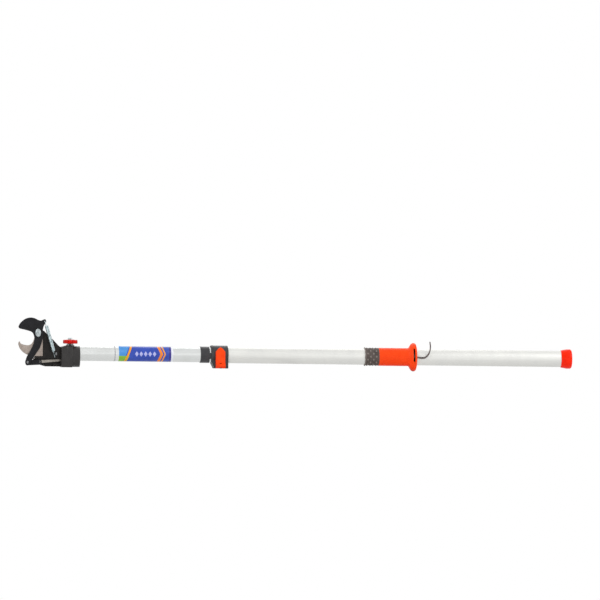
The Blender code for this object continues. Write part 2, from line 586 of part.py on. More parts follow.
def linkage(black, steel):
    """Rivet of the arm, link bar, pull strip and the strip's pin."""
    eye = Vector(ARM_EYE)
    far = Vector(STRIP_EYE)
    lie = math.degrees(math.atan2(far.y - eye.y, far.x - eye.x))
    half = (LINK_ABOVE + LINK_BELOW) / 2
    drop = Vector((0, (LINK_ABOVE - LINK_BELOW) / 2))
    outline = arc(eye + drop, half, lie + 90, lie + 270, 10) + arc(far + drop, half, lie - 90, lie + 90, 10)
    slot_half = STRIP_PIN_D / 2 + STRIP_SLOT_GAP
    play = Vector((0, STRIP_PIN_PLAY))
    slot = arc(far + play, slot_half, 0, 180, 6) + arc(far - play, slot_half, 180, 360, 6)
    plate_outline("link_bar", outline, [circle(eye, LINK_PIN_D + 2 * PIN_GAP, 14), slot], LINK_Y, LINK_THICKNESS, black)
    face = BLADE_Y - BLADE_THICKNESS - GAP
    reach = LINK_Y + LINK_THICKNESS - face
    rivet = [(0, reach), (LINK_PIN_D / 2, reach), (LINK_PIN_D / 2, 0), (LINK_PIN_HEAD_D / 2, 0),
             (LINK_PIN_HEAD_D / 2 - 0.7 * MM, -LINK_PIN_HEAD_HEIGHT), (0, -LINK_PIN_HEAD_HEIGHT)]
    turned("link_pin", rivet, (eye.x, face, eye.y), TO_BACK, steel, closed=False, steps=SMALL_STEPS)
    rear = Vector((STRIP_REAR_X, -STRIP_REAR_DROP))
    slope = math.degrees(math.atan2(rear.y - far.y, rear.x - far.x))
    nose = arc(far, STRIP_EYE_HEIGHT / 2, slope + 90, slope + 270, 8)
    tail = [(rear.x, rear.y - STRIP_REAR_HEIGHT / 2), (rear.x, rear.y + STRIP_REAR_HEIGHT / 2)]
    plate_outline("pull_strip", nose + tail, [circle(far, STRIP_PIN_D + 2 * PIN_GAP, 14),
                                              circle(STRIP_HOLD_PIN, STRIP_HOLD_PIN_D + 2 * PIN_GAP, 12)],
                  STRIP_Y, STRIP_THICKNESS, steel)
    rod("strip_pin", STRIP_PIN_D, STRIP_Y + STRIP_THICKNESS - LINK_Y - GAP, (far.x, LINK_Y + GAP, far.y),
        TO_BACK, steel, steps=14)


def crosshead(finish, steel):
    """Sliding block in the housing, its pins, and the drive rod behind it."""
    half = CAVITY_HALF - SLIDE_GAP
    low = (CROSSHEAD_X, -half, CAVITY_BOTTOM + SLIDE_GAP)
    high = (CROSSHEAD_X + CROSSHEAD_LENGTH, half, CAVITY_TOP - SLIDE_GAP)
    made = block("crosshead", low, high, finish)
    slot = block("strip_slot", (CROSSHEAD_X - PAST, STRIP_Y - GAP, -STRIP_REAR_DROP - STRIP_REAR_HEIGHT),
                 (STRIP_REAR_X + GAP, STRIP_Y + STRIP_THICKNESS + GAP, STRIP_REAR_HEIGHT - STRIP_REAR_DROP),
                 where=CUTTERS)
    bore = rod("rod_bore", ROD_D + 2 * PIN_GAP, ROD_IN_CROSSHEAD + PAST, (ROD_X, 0, 0), TO_X, where=CUTTERS)
    hold_hole = across("strip_pin_hole", STRIP_HOLD_PIN_D + 2 * PIN_GAP, STRIP_HOLD_PIN, -half - PAST, half + PAST, 12)
    rod_hole = across("rod_pin_hole", ROD_PIN_D + 2 * PIN_GAP, ROD_PIN, -half - PAST, half + PAST, 12)
    cut(made, slot, bore, hold_hole, rod_hole)
    reach = half - PIN_INSET
    for name, diameter, (x, z) in (("crosshead_pin_strip", STRIP_HOLD_PIN_D, STRIP_HOLD_PIN),
                                   ("crosshead_pin_rod", ROD_PIN_D, ROD_PIN)):
        rod(name, diameter, 2 * reach, (x, -reach, z), TO_BACK, steel, steps=12)
    start = ROD_X + GAP
    drive = rod("drive_rod", ROD_D, DRIVE_PIN_X - ROD_TO_DRIVE_PIN - start, (start, 0, 0), TO_X, steel, chamfer=0.8 * MM)
    cut(drive, across("rod_end_hole", ROD_PIN_D + 2 * PIN_GAP, ROD_PIN, -ROD_D, ROD_D, 12))


def along_x(name, outline, x_low, x_high, where=None):
    """A bar along X with the given outline of (y, z) points."""
    work = bmesh.new()
    face = work.faces.new([work.verts.new((0, y, z)) for y, z in outline])
    far = bmesh.ops.extrude_face_region(work, geom=[face])
    moved = [item for item in far["geom"] if isinstance(item, bmesh.types.BMVert)]
    bmesh.ops.translate(work, vec=(x_high - x_low, 0, 0), verts=moved)
    bmesh.ops.recalc_face_normals(work, faces=work.faces)
    mesh = bpy.data.meshes.new(name)
    work.to_mesh(mesh)
    work.free()
    return add(name, mesh, at=(x_low, 0, 0), where=where)


def housing_socket():
    """Rounded rear part of the housing, around the end of the tube."""
    side = HOUSING_WIDTH / 2 - SOCKET_STEP - SOCKET_ROUND
    top = HOUSING_TOP - SOCKET_STEP - SOCKET_ROUND
    low = SOCKET_STEP + SOCKET_ROUND - HOUSING_BOTTOM
    outline = (arc((side, top), SOCKET_ROUND, 0, 90, 7) + arc((-side, top), SOCKET_ROUND, 90, 180, 7)
               + arc((-side, low), SOCKET_ROUND, 180, 270, 7) + arc((side, low), SOCKET_ROUND, 270, 360, 7))
    return along_x("socket", outline, HOUSING_REAR_X - SOCKET_LENGTH - 2 * HOUSING_EDGE, HOUSING_REAR_X, CUTTERS)


def head_housing(finish):
    """Moulded housing: a cavity for the crosshead, an ear for the plate, a knob boss, a socket and a tube spigot."""
    half = HOUSING_WIDTH / 2
    made = block("head_housing", (HOUSING_X, -half, -HOUSING_BOTTOM), (HOUSING_REAR_X - SOCKET_LENGTH, half, HOUSING_TOP),
                 finish, bevel=HOUSING_EDGE, segments=3)
    spigot = rod("spigot", SPIGOT_D, SPIGOT_LENGTH + HOUSING_REAR_WALL / 2, (HOUSING_REAR_X - HOUSING_REAR_WALL / 2, 0, 0),
                 TO_X, steps=ROUND_STEPS, chamfer=1 * MM, where=CUTTERS)
    ear_y = PLATE_REAR_Y + GAP
    ear_x = HOUSING_X - EAR_LENGTH
    root = HOUSING_X + EAR_ROOT
    ear_points = [(ear_x, -EAR_HEIGHT), (root, -EAR_HEIGHT), (root, 4 * MM), (ear_x + 13 * MM, 5 * MM),
                  (ear_x + 10 * MM, EAR_HEIGHT), (ear_x, EAR_HEIGHT)]
    ear = plate_outline("ear", ear_points, [], ear_y, EAR_THICKNESS, where=CUTTERS)
    boss = rod("knob_boss", KNOB_BOSS_D, KNOB_BOSS_HEIGHT + HOUSING_EDGE, (KNOB_X, 0, HOUSING_TOP - HOUSING_EDGE),
               (0, 0, 0), steps=32, where=CUTTERS)
    join(made, housing_socket(), spigot, ear, boss)
    length, fall = HOUSING_SLOPE
    rate = fall / length
    slope = plate_outline("front_slope", [(HOUSING_X - PAST, HOUSING_TOP - fall - rate * PAST),
                                          (HOUSING_X + length + PAST, HOUSING_TOP + rate * PAST),
                                          (HOUSING_X - PAST, HOUSING_TOP + fall)], [],
                          -half - PAST, HOUSING_WIDTH + 2 * PAST, where=CUTTERS)
    cavity = block("cavity", (HOUSING_X + HOUSING_FRONT_WALL, -CAVITY_HALF, CAVITY_BOTTOM),
                   (HOUSING_REAR_X - HOUSING_REAR_WALL, CAVITY_HALF, CAVITY_TOP), where=CUTTERS)
    mouth = block("strip_mouth", (HOUSING_X - PAST, STRIP_Y - MOUTH_GAP, CAVITY_BOTTOM + PAST),
                  (HOUSING_X + HOUSING_FRONT_WALL + PAST, STRIP_Y + STRIP_THICKNESS + MOUTH_GAP,
                   STRIP_REAR_HEIGHT - STRIP_REAR_DROP), where=CUTTERS)
    way = (ROD_D + ROD_WAY_PLAY) / 2 + SLIDE_GAP
    wide = SPIGOT_D / 2 - SPIGOT_WALL
    deep = HOUSING_REAR_WALL + PAST
    rod_way = turned("rod_way", [(0, deep + SPIGOT_LENGTH + PAST), (wide, deep + SPIGOT_LENGTH + PAST), (wide, deep + PAST),
                                 (way, deep + PAST), (way, 0), (0, 0)],
                     (HOUSING_REAR_X - deep, 0, 0), TO_X, steps=32, closed=False, where=CUTTERS)
    stud_hole = rod("stud_hole", STUD_D + 2 * PIN_GAP, STUD_IN_HOUSING + KNOB_BOSS_HEIGHT + PAST,
                    (KNOB_X, 0, HOUSING_TOP - STUD_IN_HOUSING), (0, 0, 0), where=CUTTERS)
    rivet_hole = across("rivet_hole", TUBE_RIVET_D + 2 * PIN_GAP, (TUBE_RIVET_X, 0.0), 3 * MM, UPPER_TUBE_D, 18)
    holes = [across(f"ear_screw_hole_{k}", PLATE_SCREW_D + 2 * PIN_GAP, place, ear_y - PAST,
                    ear_y + EAR_THICKNESS + PAST) for k, place in enumerate(PLATE_SCREWS)]
    cut(made, slope, cavity, mouth, rod_way, stud_hole, rivet_hole, *holes)


def knob(red, steel):
    """Washer, lobed knob, and the capped stud that holds both on the housing."""
    seat = HOUSING_TOP + KNOB_BOSS_HEIGHT
    under = seat + GAP + WASHER_THICKNESS + GAP
    base = under + KNOB_HUB_HEIGHT
    low = HOUSING_TOP - STUD_IN_HOUSING + GAP
    cap = base + KNOB_THICKNESS + GAP - low
    dome = [(x, cap + z) for z, x in arc((0, 0), 1, 0, 80, 5)]
    dome = [(x * STUD_CAP_D / 2, cap + (z - cap) * STUD_CAP_HEIGHT) for x, z in dome]
    shank = STUD_D / 2
    turned("knob_stud", [(0, cap + STUD_CAP_HEIGHT), *dome, (STUD_CAP_D / 2, cap), (shank, cap), (shank, STUD_CHAMFER),
                         (shank - STUD_CHAMFER, 0), (0, 0)],
           (KNOB_X, 0, low), (0, 0, 0), steel, closed=False, steps=28)
    tube("knob_washer", WASHER_D, STUD_D + 2 * PIN_GAP, WASHER_THICKNESS, (KNOB_X, 0, seat + GAP), (0, 0, 0), steel,
         steps=32)
    radius = KNOB_D / 2
    count = KNOB_LOBES * 8
    outline = []
    for k in range(count):
        angle = 2 * math.pi * k / count
        reach = radius * (1 - KNOB_DIP * (0.5 - 0.5 * math.cos(KNOB_LOBES * angle)) ** 1.5)
        outline.append((reach * math.cos(angle), reach * math.sin(angle)))
    flat = bpy.data.curves.new("star_knob", "CURVE")
    flat.dimensions = "2D"
    flat.fill_mode = "BOTH"
    flat.extrude = KNOB_THICKNESS / 2
    for points in (outline, circle((0, 0), STUD_D + 2 * PIN_GAP)):
        line = flat.splines.new("POLY")
        line.points.add(len(points) - 1)
        for point, (x, y) in zip(line.points, points):
            point.co = (x, y, 0, 1)
        line.use_cyclic_u = True
    made = as_mesh(add("star_knob", flat, at=(KNOB_X, 0, base + KNOB_THICKNESS / 2)), red)
    hub = tube("knob_hub", KNOB_HUB_D, STUD_D + 2 * PIN_GAP, KNOB_HUB_HEIGHT + PAST, (KNOB_X, 0, under), (0, 0, 0),
               steps=32, where=CUTTERS)
    join(made, hub)


def upper_tube(finish, steel):
    """Inner tube of the pole, its rivet and the guide bush at its inner end."""
    start = HOUSING_REAR_X + GAP
    made = tube("upper_tube", UPPER_TUBE_D, UPPER_TUBE_BORE_D, UPPER_TUBE_LENGTH, (start, 0, 0), TO_X, finish, steps=48)
    cut(made, across("tube_rivet_hole", TUBE_RIVET_D + 2 * PIN_GAP, (TUBE_RIVET_X, 0.0), UPPER_TUBE_BORE_D / 4,
                     UPPER_TUBE_D, 18))
    depth = TUBE_WALL + TUBE_RIVET_DEPTH
    turned("tube_rivet", [(0, 1.2 * MM), (TUBE_RIVET_D * 0.55, 1.1 * MM), (TUBE_RIVET_D * 0.85, 0.2 * MM),
                          (TUBE_RIVET_D * 0.85, 0), (TUBE_RIVET_D / 2, 0), (TUBE_RIVET_D / 2, -depth), (0, -depth)],
           (TUBE_RIVET_X, UPPER_TUBE_D / 2 + GAP, 0), TO_BACK, steel, closed=False, steps=SMALL_STEPS)
    tube("guide_bush", UPPER_TUBE_BORE_D - 2 * GAP, DRIVE_TUBE_D + 2 * SLIDE_GAP, BUSH_LENGTH,
         (start + UPPER_TUBE_LENGTH - BUSH_LENGTH, 0, 0), TO_X, steel)


def lower_tube(finish):
    """Outer tube of the pole, with a slot on each side for the drive pin."""
    start = CLAMP_REAR_X - LOWER_TUBE_IN_CLAMP
    end = TAIL_X - CAP_END_WALL - GAP
    made = tube("lower_tube", LOWER_TUBE_D, LOWER_TUBE_BORE_D, end - start, (start, 0, 0), TO_X, finish, steps=48)
    half = DRIVE_PIN_D / 2 + PIN_GAP
    slot = block("pin_slot", (DRIVE_PIN_X - half, -LOWER_TUBE_D, -half), (DRIVE_PIN_X + STROKE + half, LOWER_TUBE_D, half),
                 where=CUTTERS)
    cut(made, slot)


def collet_sleeve(finish):
    """Sleeve in front of the clamp, with the tongue that reaches to it."""
    bore = UPPER_TUBE_D + 2 * SLIDE_GAP
    outer = bore + 2 * SLEEVE_WALL
    made = tube("collet_sleeve", outer, bore, SLEEVE_LENGTH, (SLEEVE_X, 0, 0), TO_X, finish, steps=48)
    tongue = tube("tongue_ring", outer, bore, SLEEVE_TONGUE + PAST - GAP, (CLAMP_X - SLEEVE_TONGUE - PAST, 0, 0), TO_X,
                  steps=48, where=CUTTERS)
    keep = block("tongue_side", (CLAMP_X - SLEEVE_TONGUE - 2 * PAST, -LOWER_TUBE_D, TONGUE_LOW),
                 (CLAMP_X + PAST, 0, TONGUE_HIGH), where=CUTTERS)
    combine(tongue, keep, "INTERSECT")
    join(made, tongue)


def clamp_body(finish):
    """Clamp around the end of the lower tube, with two ears and the slit between them."""
    outer = COVER_BORE_D / 2 + CLAMP_WALL
    body = rod("clamp_body", 2 * outer, CLAMP_LENGTH, (CLAMP_X, 0, 0), TO_X, finish, steps=ROUND_STEPS, chamfer=1 * MM)
    ears = block("clamp_ears", (CLAMP_X, -CLAMP_EAR_FRONT, -CLAMP_BOTTOM), (CLAMP_REAR_X, CLAMP_EAR_BACK, -4 * MM),
                 bevel=1.2 * MM, where=CUTTERS)
    join(body, ears)
    seat = CLAMP_REAR_X - LOWER_TUBE_IN_CLAMP
    bore_rear = rod("clamp_bore", COVER_BORE_D, LOWER_TUBE_IN_CLAMP + GAP + PAST, (seat - GAP, 0, 0), TO_X,
                    steps=48, where=CUTTERS)
    bore_front = rod("clamp_mouth", UPPER_TUBE_D + 2 * SLIDE_GAP, CLAMP_LENGTH, (CLAMP_X - PAST, 0, 0), TO_X, steps=48,
                     where=CUTTERS)
    slit = block("clamp_slit", (CLAMP_X - PAST, -CLAMP_SLIT / 2, -CLAMP_BOTTOM - PAST),
                 (CLAMP_REAR_X + PAST, CLAMP_SLIT / 2, -UPPER_TUBE_D / 4), where=CUTTERS)
    wedge_points = [(CLAMP_X - PAST, -CLAMP_BOTTOM - PAST), (CLAMP_X + CLAMP_CHAMFER * 0.75, -CLAMP_BOTTOM - PAST),
                    (CLAMP_X - PAST, -CLAMP_BOTTOM + CLAMP_CHAMFER + PAST)]
    wedge = plate_outline("clamp_wedge", wedge_points, [], -outer - PAST, 2 * (outer + PAST), where=CUTTERS)
    screw_way = across("clamp_screw_way", CLAMP_SCREW_D + 2 * PIN_GAP, (LEVER_MIDDLE_X, -CAM_PIN_DROP), -outer - PAST,
                       outer + PAST, 14)
    cut(body, bore_rear, bore_front, slit, wedge, screw_way)


def quick_lever(orange, steel):
    """Cam lever on its barrel pin, and the screw and nut that it pulls on."""
    left = LEVER_MIDDLE_X - LEVER_WIDTH / 2
    cam_z = -CAM_PIN_DROP
    rise = [(left, cam_z), (left, LEVER_SHOULDER), (left + LEVER_WIDTH * 0.28, LEVER_TIP - 2.6 * MM),
            (LEVER_MIDDLE_X, LEVER_TIP), (left + LEVER_WIDTH * 0.72, LEVER_TIP - 2.6 * MM),
            (left + LEVER_WIDTH, LEVER_SHOULDER), (left + LEVER_WIDTH, cam_z)]
    lever = plate_outline("cam_lever", rise, [], LEVER_Y, LEVER_THICKNESS, orange)
    cam = rod("cam", CAM_D, LEVER_WIDTH, (left, CAM_Y, cam_z), TO_X, steps=28, where=CUTTERS)
    join(lever, cam)
    pin_way = rod("cam_pin_way", CAM_PIN_D + 2 * PIN_GAP, LEVER_WIDTH + 2 * PAST, (left - PAST, CAM_Y, cam_z), TO_X,
                  steps=SMALL_STEPS, where=CUTTERS)
    half = CLAMP_SCREW_D / 2
    gap = block("cam_gap", (LEVER_MIDDLE_X - half - CAM_GAP, CAM_Y - CAM_PIN_D / 2 - CAM_GAP, cam_z - CAM_D),
                (LEVER_MIDDLE_X + half + CAM_GAP, CAM_Y + CAM_D, cam_z + CAM_PIN_D / 2 + 2 * CAM_GAP), where=CUTTERS)
    cut(lever, pin_way, gap)
    pin = rod("cam_pin", CAM_PIN_D, LEVER_WIDTH, (left, CAM_Y, cam_z), TO_X, steel, steps=SMALL_STEPS)
    thread_y = CAM_Y - CAM_PIN_D / 2 + CAM_PIN_SKIN
    cut(pin, across("cam_pin_thread", CLAMP_SCREW_D + 2 * PIN_GAP, (LEVER_MIDDLE_X, cam_z), thread_y, 0, 14))
    nut_y = CLAMP_EAR_BACK + GAP
    start = thread_y + GAP
    rod("clamp_screw", CLAMP_SCREW_D, nut_y + CLAMP_NUT_HEIGHT + CLAMP_SCREW_END - start, (LEVER_MIDDLE_X, start, cam_z),
        TO_BACK, steel, steps=14)
    nut("clamp_nut", CLAMP_NUT_FLATS, CLAMP_SCREW_D + 2 * PIN_GAP, CLAMP_NUT_HEIGHT, (LEVER_MIDDLE_X, nut_y, cam_z), steel)


def sliding_grip(dark, orange):
    """Collar, and the grip with its flange and the slot for the wire hook."""
    bore = COVER_BORE_D / 2
    outer = GRIP_D / 2
    length = COLLAR_LENGTH - GAP
    turned("grip_collar", [(outer, length), (outer - 0.3 * MM, length * 0.55), (outer, length * 0.2),
                           (outer + COLLAR_FLARE, 1 * MM), (outer + COLLAR_FLARE - 0.5 * MM, 0), (bore, 0),
                           (bore, length)],
           (COLLAR_X, 0, 0), TO_X, dark)
    whole = GRIP_LENGTH + FLANGE_LENGTH
    big = FLANGE_D / 2
    flange = [(bore + 3 * MM, whole), (big - 5 * MM, whole), (big - 2 * MM, whole - 1.4 * MM), (big, whole - 5 * MM),
              (big, whole - 10 * MM), (big - 1.5 * MM, whole - 14 * MM), (big - 5 * MM, whole - 17.5 * MM),
              (outer + 1 * MM, whole - 21 * MM), (outer, whole - 24 * MM), (outer, 0.6 * MM), (outer - 0.6 * MM, 0),
              (bore, 0), (bore, whole - 2 * MM)]
    made = turned("grip_sleeve", flange, (GRIP_X, 0, 0), TO_X, orange, steps=48)
    slot_x = FLANGE_REAR_X - SLOT_FROM_REAR
    ring_half = HOOK_WIRE_D / 2 + 2 * PIN_GAP
    low = -HOOK_SWING - SWING_SPARE
    high = HOOK_SWING + RING_ARC + SWING_SPARE
    groove = sector("hook_groove", HOOK_RING_R - ring_half, HOOK_RING_R + ring_half, low, high, slot_x, FLANGE_REAR_X + PAST)
    window = sector("hook_window", HOOK_RING_R - ring_half + 0.1 * MM, big + 2 * PAST, low + SWING_SPARE / 2,
                    high - SWING_SPARE / 2, slot_x, slot_x + SLOT_WIDTH)
    pocket = outer - PIN_POCKET_SKIN
    cut(made, groove, window, across("pin_pocket", DRIVE_PIN_D + 2 * PIN_GAP, (DRIVE_PIN_X, 0.0), -pocket, pocket))


def drive_parts(steel):
    """Drive tube that the rod slides in, and its cross pin in the grip."""
    start = DRIVE_PIN_X + DRIVE_TUBE_BEHIND_PIN - DRIVE_TUBE_LENGTH
    drive = tube("drive_tube", DRIVE_TUBE_D, ROD_D + 2 * SLIDE_GAP, DRIVE_TUBE_LENGTH, (start, 0, 0), TO_X, steel, steps=28)
    cut(drive, across("drive_pin_way", DRIVE_PIN_D + 2 * PIN_GAP, (DRIVE_PIN_X, 0.0), -DRIVE_TUBE_D, DRIVE_TUBE_D))
    reach = GRIP_D / 2 - PIN_POCKET_SKIN - GAP
    rod("drive_pin", DRIVE_PIN_D, 2 * reach, (DRIVE_PIN_X, -reach, 0), TO_BACK, steel, chamfer=0.5 * MM)


def sector(name, inner, outer, start, end, x_low, x_high):
    """A cutter shaped as part of a ring around the pole's axis; angle 0 faces -Y and grows upwards."""
    steps = 10
    points = []
    for radius, order in ((outer, range(steps + 1)), (inner, range(steps, -1, -1))):
        for k in order:
            angle = start + (end - start) * k / steps
            points.append((-radius * math.cos(angle), radius * math.sin(angle)))
    return along_x(name, points, x_low, x_high, CUTTERS)


def wire(name, points, diameter, finish, resolution=1):
    """A round wire along the given points, with filled ends."""
    line = bpy.data.curves.new(name, "CURVE")
    line.dimensions = "3D"
    line.bevel_depth = diameter / 2
    line.bevel_resolution = resolution
    line.use_fill_caps = True
    line.resolution_u = 1
    run = line.splines.new("POLY")
    run.points.add(len(points) - 1)
    for point, place in zip(run.points, points):
        point.co = (*place, 1)
    return add(name, line, finish)


def hook_wire(finish):
    """Wire hook: an arc that sits in the flange's groove, a straight part and the hook itself."""
    slot_x = FLANGE_REAR_X - SLOT_FROM_REAR + SLOT_WIDTH / 2
    ring = []
    for k in range(6):
        angle = RING_ARC * (1 - k / 5 * 0.82)
        ring.append((slot_x, -HOOK_RING_R * math.cos(angle), HOOK_RING_R * math.sin(angle)))
    ring.append((slot_x + 0.7 * MM, -HOOK_RING_R, 0.5 * MM))
    ring.append((slot_x + 2.4 * MM, -HOOK_RING_R, 0))
    outer_x = FLANGE_REAR_X + HOOK_REACH - HOOK_WIRE_D / 2
    centre = (outer_x - HOOK_BEND_R, HOOK_BEND_R - 1 * MM)
    straight = [(FLANGE_REAR_X, -HOOK_RING_R, -0.3 * MM), (centre[0] - 1 * MM, -HOOK_RING_R, -1 * MM)]
    bend = [(x, -HOOK_RING_R, z) for x, z in arc(centre, HOOK_BEND_R, -86, 2, 10)]
    tip = [(outer_x - 0.6 * MM, -HOOK_RING_R, HOOK_RISE - 6 * MM), (outer_x - 1.6 * MM, -HOOK_RING_R, HOOK_RISE)]
    wire("hook_wire", ring + straight + bend + tip, HOOK_WIRE_D, finish, resolution=2)


def return_spring(finish):
    """Extension spring from the blade's lug to the plate, with its turns and both ends."""
    top = Vector((SPRING_LUG[0], 0, SPRING_LUG[1]))
    foot = Vector((SPRING_FOOT[0], 0, SPRING_FOOT[1]))
    along = (foot - top).normalized()
    side = Vector((along.z, 0, -along.x))
    back = Vector((0, 1, 0))
    centre = Vector((0, SPRING_CENTRE_Y, 0))
    first = top + along * SPRING_LUG_END + centre
    last = foot - along * SPRING_PLATE_END + centre
    radius = (SPRING_D - SPRING_WIRE_D) / 2
    per_turn = 9
    count = SPRING_TURNS * per_turn
    coil = []
    for k in range(count + 1):
        angle = 2 * math.pi * k / per_turn
        coil.append(first + (last - first) * (k / count) + back * radius * math.cos(angle) + side * radius * math.sin(angle))
    lug_front = Vector((0, BLADE_Y - BLADE_THICKNESS, 0))
    pad_front = Vector((0, HOOK_Y, 0))
    off = Vector((0, -SPRING_WIRE_D / 2 - GAP, 0))
    upper = [top + lug_front + back * 4 * MM, top + lug_front, top + lug_front + off + along * 0.8 * MM,
             top + lug_front + off + along * 4 * MM, first - along * 2.4 * MM + back * radius * 0.8]
    lower = [last + along * 2.2 * MM + back * radius * 0.9, foot + pad_front + off - along * 6.5 * MM,
             foot + pad_front + off - along * 1 * MM, foot + pad_front + back * 1 * MM,
             foot + pad_front + back * 4 * MM]
    points = upper + coil + lower
    wire("return_spring", points, SPRING_WIRE_D, finish)
    report_spring_gap(points, per_turn)


def report_spring_gap(points, per_turn):
    """Print the least distance between two stretches of the spring's wire that aren't neighbours."""
    least = min(
        (a - b).length
        for i, a in enumerate(points)
        for b in points[i + per_turn - 2:]
    )
    print(f"return_spring: {SPRING_TURNS} turns, least gap to itself {(least - SPRING_WIRE_D) / MM:.2f} mm")


def end_cap(finish):
    """Cap on the tail end of the lower tube."""
    bore = COVER_BORE_D / 2
    front = CAP_FRONT_D / 2
    rear = CAP_REAR_D / 2
    turned("end_cap", [(0, CAP_LENGTH), (rear - 6 * MM, CAP_LENGTH), (rear - 2.2 * MM, CAP_LENGTH - 1.2 * MM),
                       (rear, CAP_LENGTH - 4.5 * MM), (rear, CAP_LENGTH * 0.55), (front, 3 * MM), (front - 0.8 * MM, 0),
                       (bore, 0), (bore, CAP_LENGTH - CAP_END_WALL), (0, CAP_LENGTH - CAP_END_WALL)],
           (CAP_X, 0, 0), TO_X, finish, closed=False, steps=48)


for old in list(bpy.data.objects):
    bpy.data.objects.remove(old)
PART = collection("pole_pruner")
CUTTERS = collection("cutters")

black_enamel = material("black_enamel", (0.018, 0.018, 0.02), 0.45, 0.0)
grey_steel = material("grey_steel", (0.36, 0.30, 0.26), 0.45, 0.9)
bright_steel = material("bright_steel", (0.6, 0.62, 0.62), 0.3, 1.0)
dark_wire = material("dark_wire", (0.13, 0.11, 0.11), 0.4, 0.8)
dark_plastic = material("dark_plastic", (0.045, 0.043, 0.045), 0.5, 0.0)
grip_rubber = material("grip_rubber", (0.13, 0.12, 0.11), 0.7, 0.0)
orange_plastic = material("orange_plastic", (1.0, 0.085, 0.012), 0.45, 0.0)
red_plastic = material("red_plastic", (0.75, 0.01, 0.01), 0.35, 0.0)
polished_aluminium = material("polished_aluminium", (0.72, 0.73, 0.73), 0.25, 1.0)
satin_aluminium = material("satin_aluminium", (0.8, 0.8, 0.79), 0.4, 1.0)
acetal = material("acetal", (0.6, 0.6, 0.58), 0.4, 0.0)

cutting_blade(black_enamel)
hook_blade(grey_steel)
head_plate(black_enamel)
head_screws(bright_steel)
plate_screws(bright_steel)
linkage(black_enamel, bright_steel)
crosshead(acetal, bright_steel)
head_housing(dark_plastic)
knob(red_plastic, bright_steel)
upper_tube(polished_aluminium, bright_steel)
lower_tube(satin_aluminium)
collet_sleeve(dark_plastic)
clamp_body(dark_plastic)
quick_lever(orange_plastic, bright_steel)
sliding_grip(grip_rubber, orange_plastic)
drive_parts(bright_steel)
hook_wire(dark_wire)
return_spring(bright_steel)
end_cap(orange_plastic)
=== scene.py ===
"""Looks of a telescopic pole pruner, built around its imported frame.

Places are given as the part's source gives them: X from the tip of the beak and Z from
the pole's axis, both in millimetres, moved by ORIGIN into the frame.
"""
import json
import math

import bmesh
import bpy
from mathutils import Matrix, Vector

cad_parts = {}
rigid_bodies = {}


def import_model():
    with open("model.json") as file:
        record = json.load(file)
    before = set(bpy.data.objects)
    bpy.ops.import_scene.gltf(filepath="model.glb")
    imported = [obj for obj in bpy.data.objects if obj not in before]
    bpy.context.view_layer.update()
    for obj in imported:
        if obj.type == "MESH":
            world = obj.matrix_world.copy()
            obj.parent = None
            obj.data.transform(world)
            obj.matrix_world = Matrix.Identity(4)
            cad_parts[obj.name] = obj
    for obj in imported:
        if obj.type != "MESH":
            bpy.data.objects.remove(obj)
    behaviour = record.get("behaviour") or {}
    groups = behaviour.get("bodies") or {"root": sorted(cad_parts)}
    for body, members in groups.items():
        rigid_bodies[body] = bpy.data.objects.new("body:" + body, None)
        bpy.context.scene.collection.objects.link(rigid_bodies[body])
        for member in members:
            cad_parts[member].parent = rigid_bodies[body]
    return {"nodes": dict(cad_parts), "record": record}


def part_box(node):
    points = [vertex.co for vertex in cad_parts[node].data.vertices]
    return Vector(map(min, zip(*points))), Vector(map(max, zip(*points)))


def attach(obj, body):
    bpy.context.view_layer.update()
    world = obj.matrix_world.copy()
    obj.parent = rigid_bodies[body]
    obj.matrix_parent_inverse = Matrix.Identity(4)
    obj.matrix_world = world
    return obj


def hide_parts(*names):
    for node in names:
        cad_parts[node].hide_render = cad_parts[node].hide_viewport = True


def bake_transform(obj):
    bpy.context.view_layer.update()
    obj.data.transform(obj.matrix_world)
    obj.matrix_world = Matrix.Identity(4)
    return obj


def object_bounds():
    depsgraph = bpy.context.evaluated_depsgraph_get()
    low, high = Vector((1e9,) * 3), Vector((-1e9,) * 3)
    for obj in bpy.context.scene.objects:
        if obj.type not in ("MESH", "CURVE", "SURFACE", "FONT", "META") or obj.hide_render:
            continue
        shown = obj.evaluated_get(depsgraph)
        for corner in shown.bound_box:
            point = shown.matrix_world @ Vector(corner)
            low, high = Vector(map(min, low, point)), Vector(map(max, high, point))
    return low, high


MM = 0.001
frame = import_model()
cad_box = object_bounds()
NODES = frame["nodes"]
BODY_OF = {node: body for body, nodes in frame["record"]["behaviour"]["bodies"].items() for node in nodes}
AXIS_HEIGHT = 27.6 * MM
ORIGIN = Vector((cad_box[0][0], 0, AXIS_HEIGHT))


def at(x, y, z):
    """Millimetres from the beak's tip and the pole's axis, as a place in the frame."""
    return ORIGIN + Vector((x, y, z)) * MM


# Cutting head, in millimetres: centres of its holes and the pivot hole's diameter, then the
# near faces of the blades and of the plate's pad, and the blades' thicknesses
PIVOT_X, PIVOT_Z = 56.8, 39
LUG_X, LUG_Z = 76.4, 61.5
EYE_X, EYE_Z = 26.7, -18.5
SCREW_X, SCREW_Z = 44.6, -8.4
SPRING_FOOT_X, SPRING_FOOT_Z = 107.6, -8.6
PIVOT_HOLE = 8.6
BLADE_FACE, HOOK_FACE, PAD_FACE = -7.5, -2, -2
BLADE_THICK, HOOK_THICK = 5.2, 4.5
PIVOT = at(PIVOT_X, 0, PIVOT_Z)

# Grip: its flange's rear end, and the slot that the wire hook swings in
FLANGE_REAR = 1163.6
SLOT_X = 1154.8
SLOT_HALF_WIDE = 2.4

# Prints on the upper tube: where each starts and how long it is
STICKER_START, STICKER_LONG = 292.5, 159.1
RING_START, RING_LONG = 279.5, 3.5

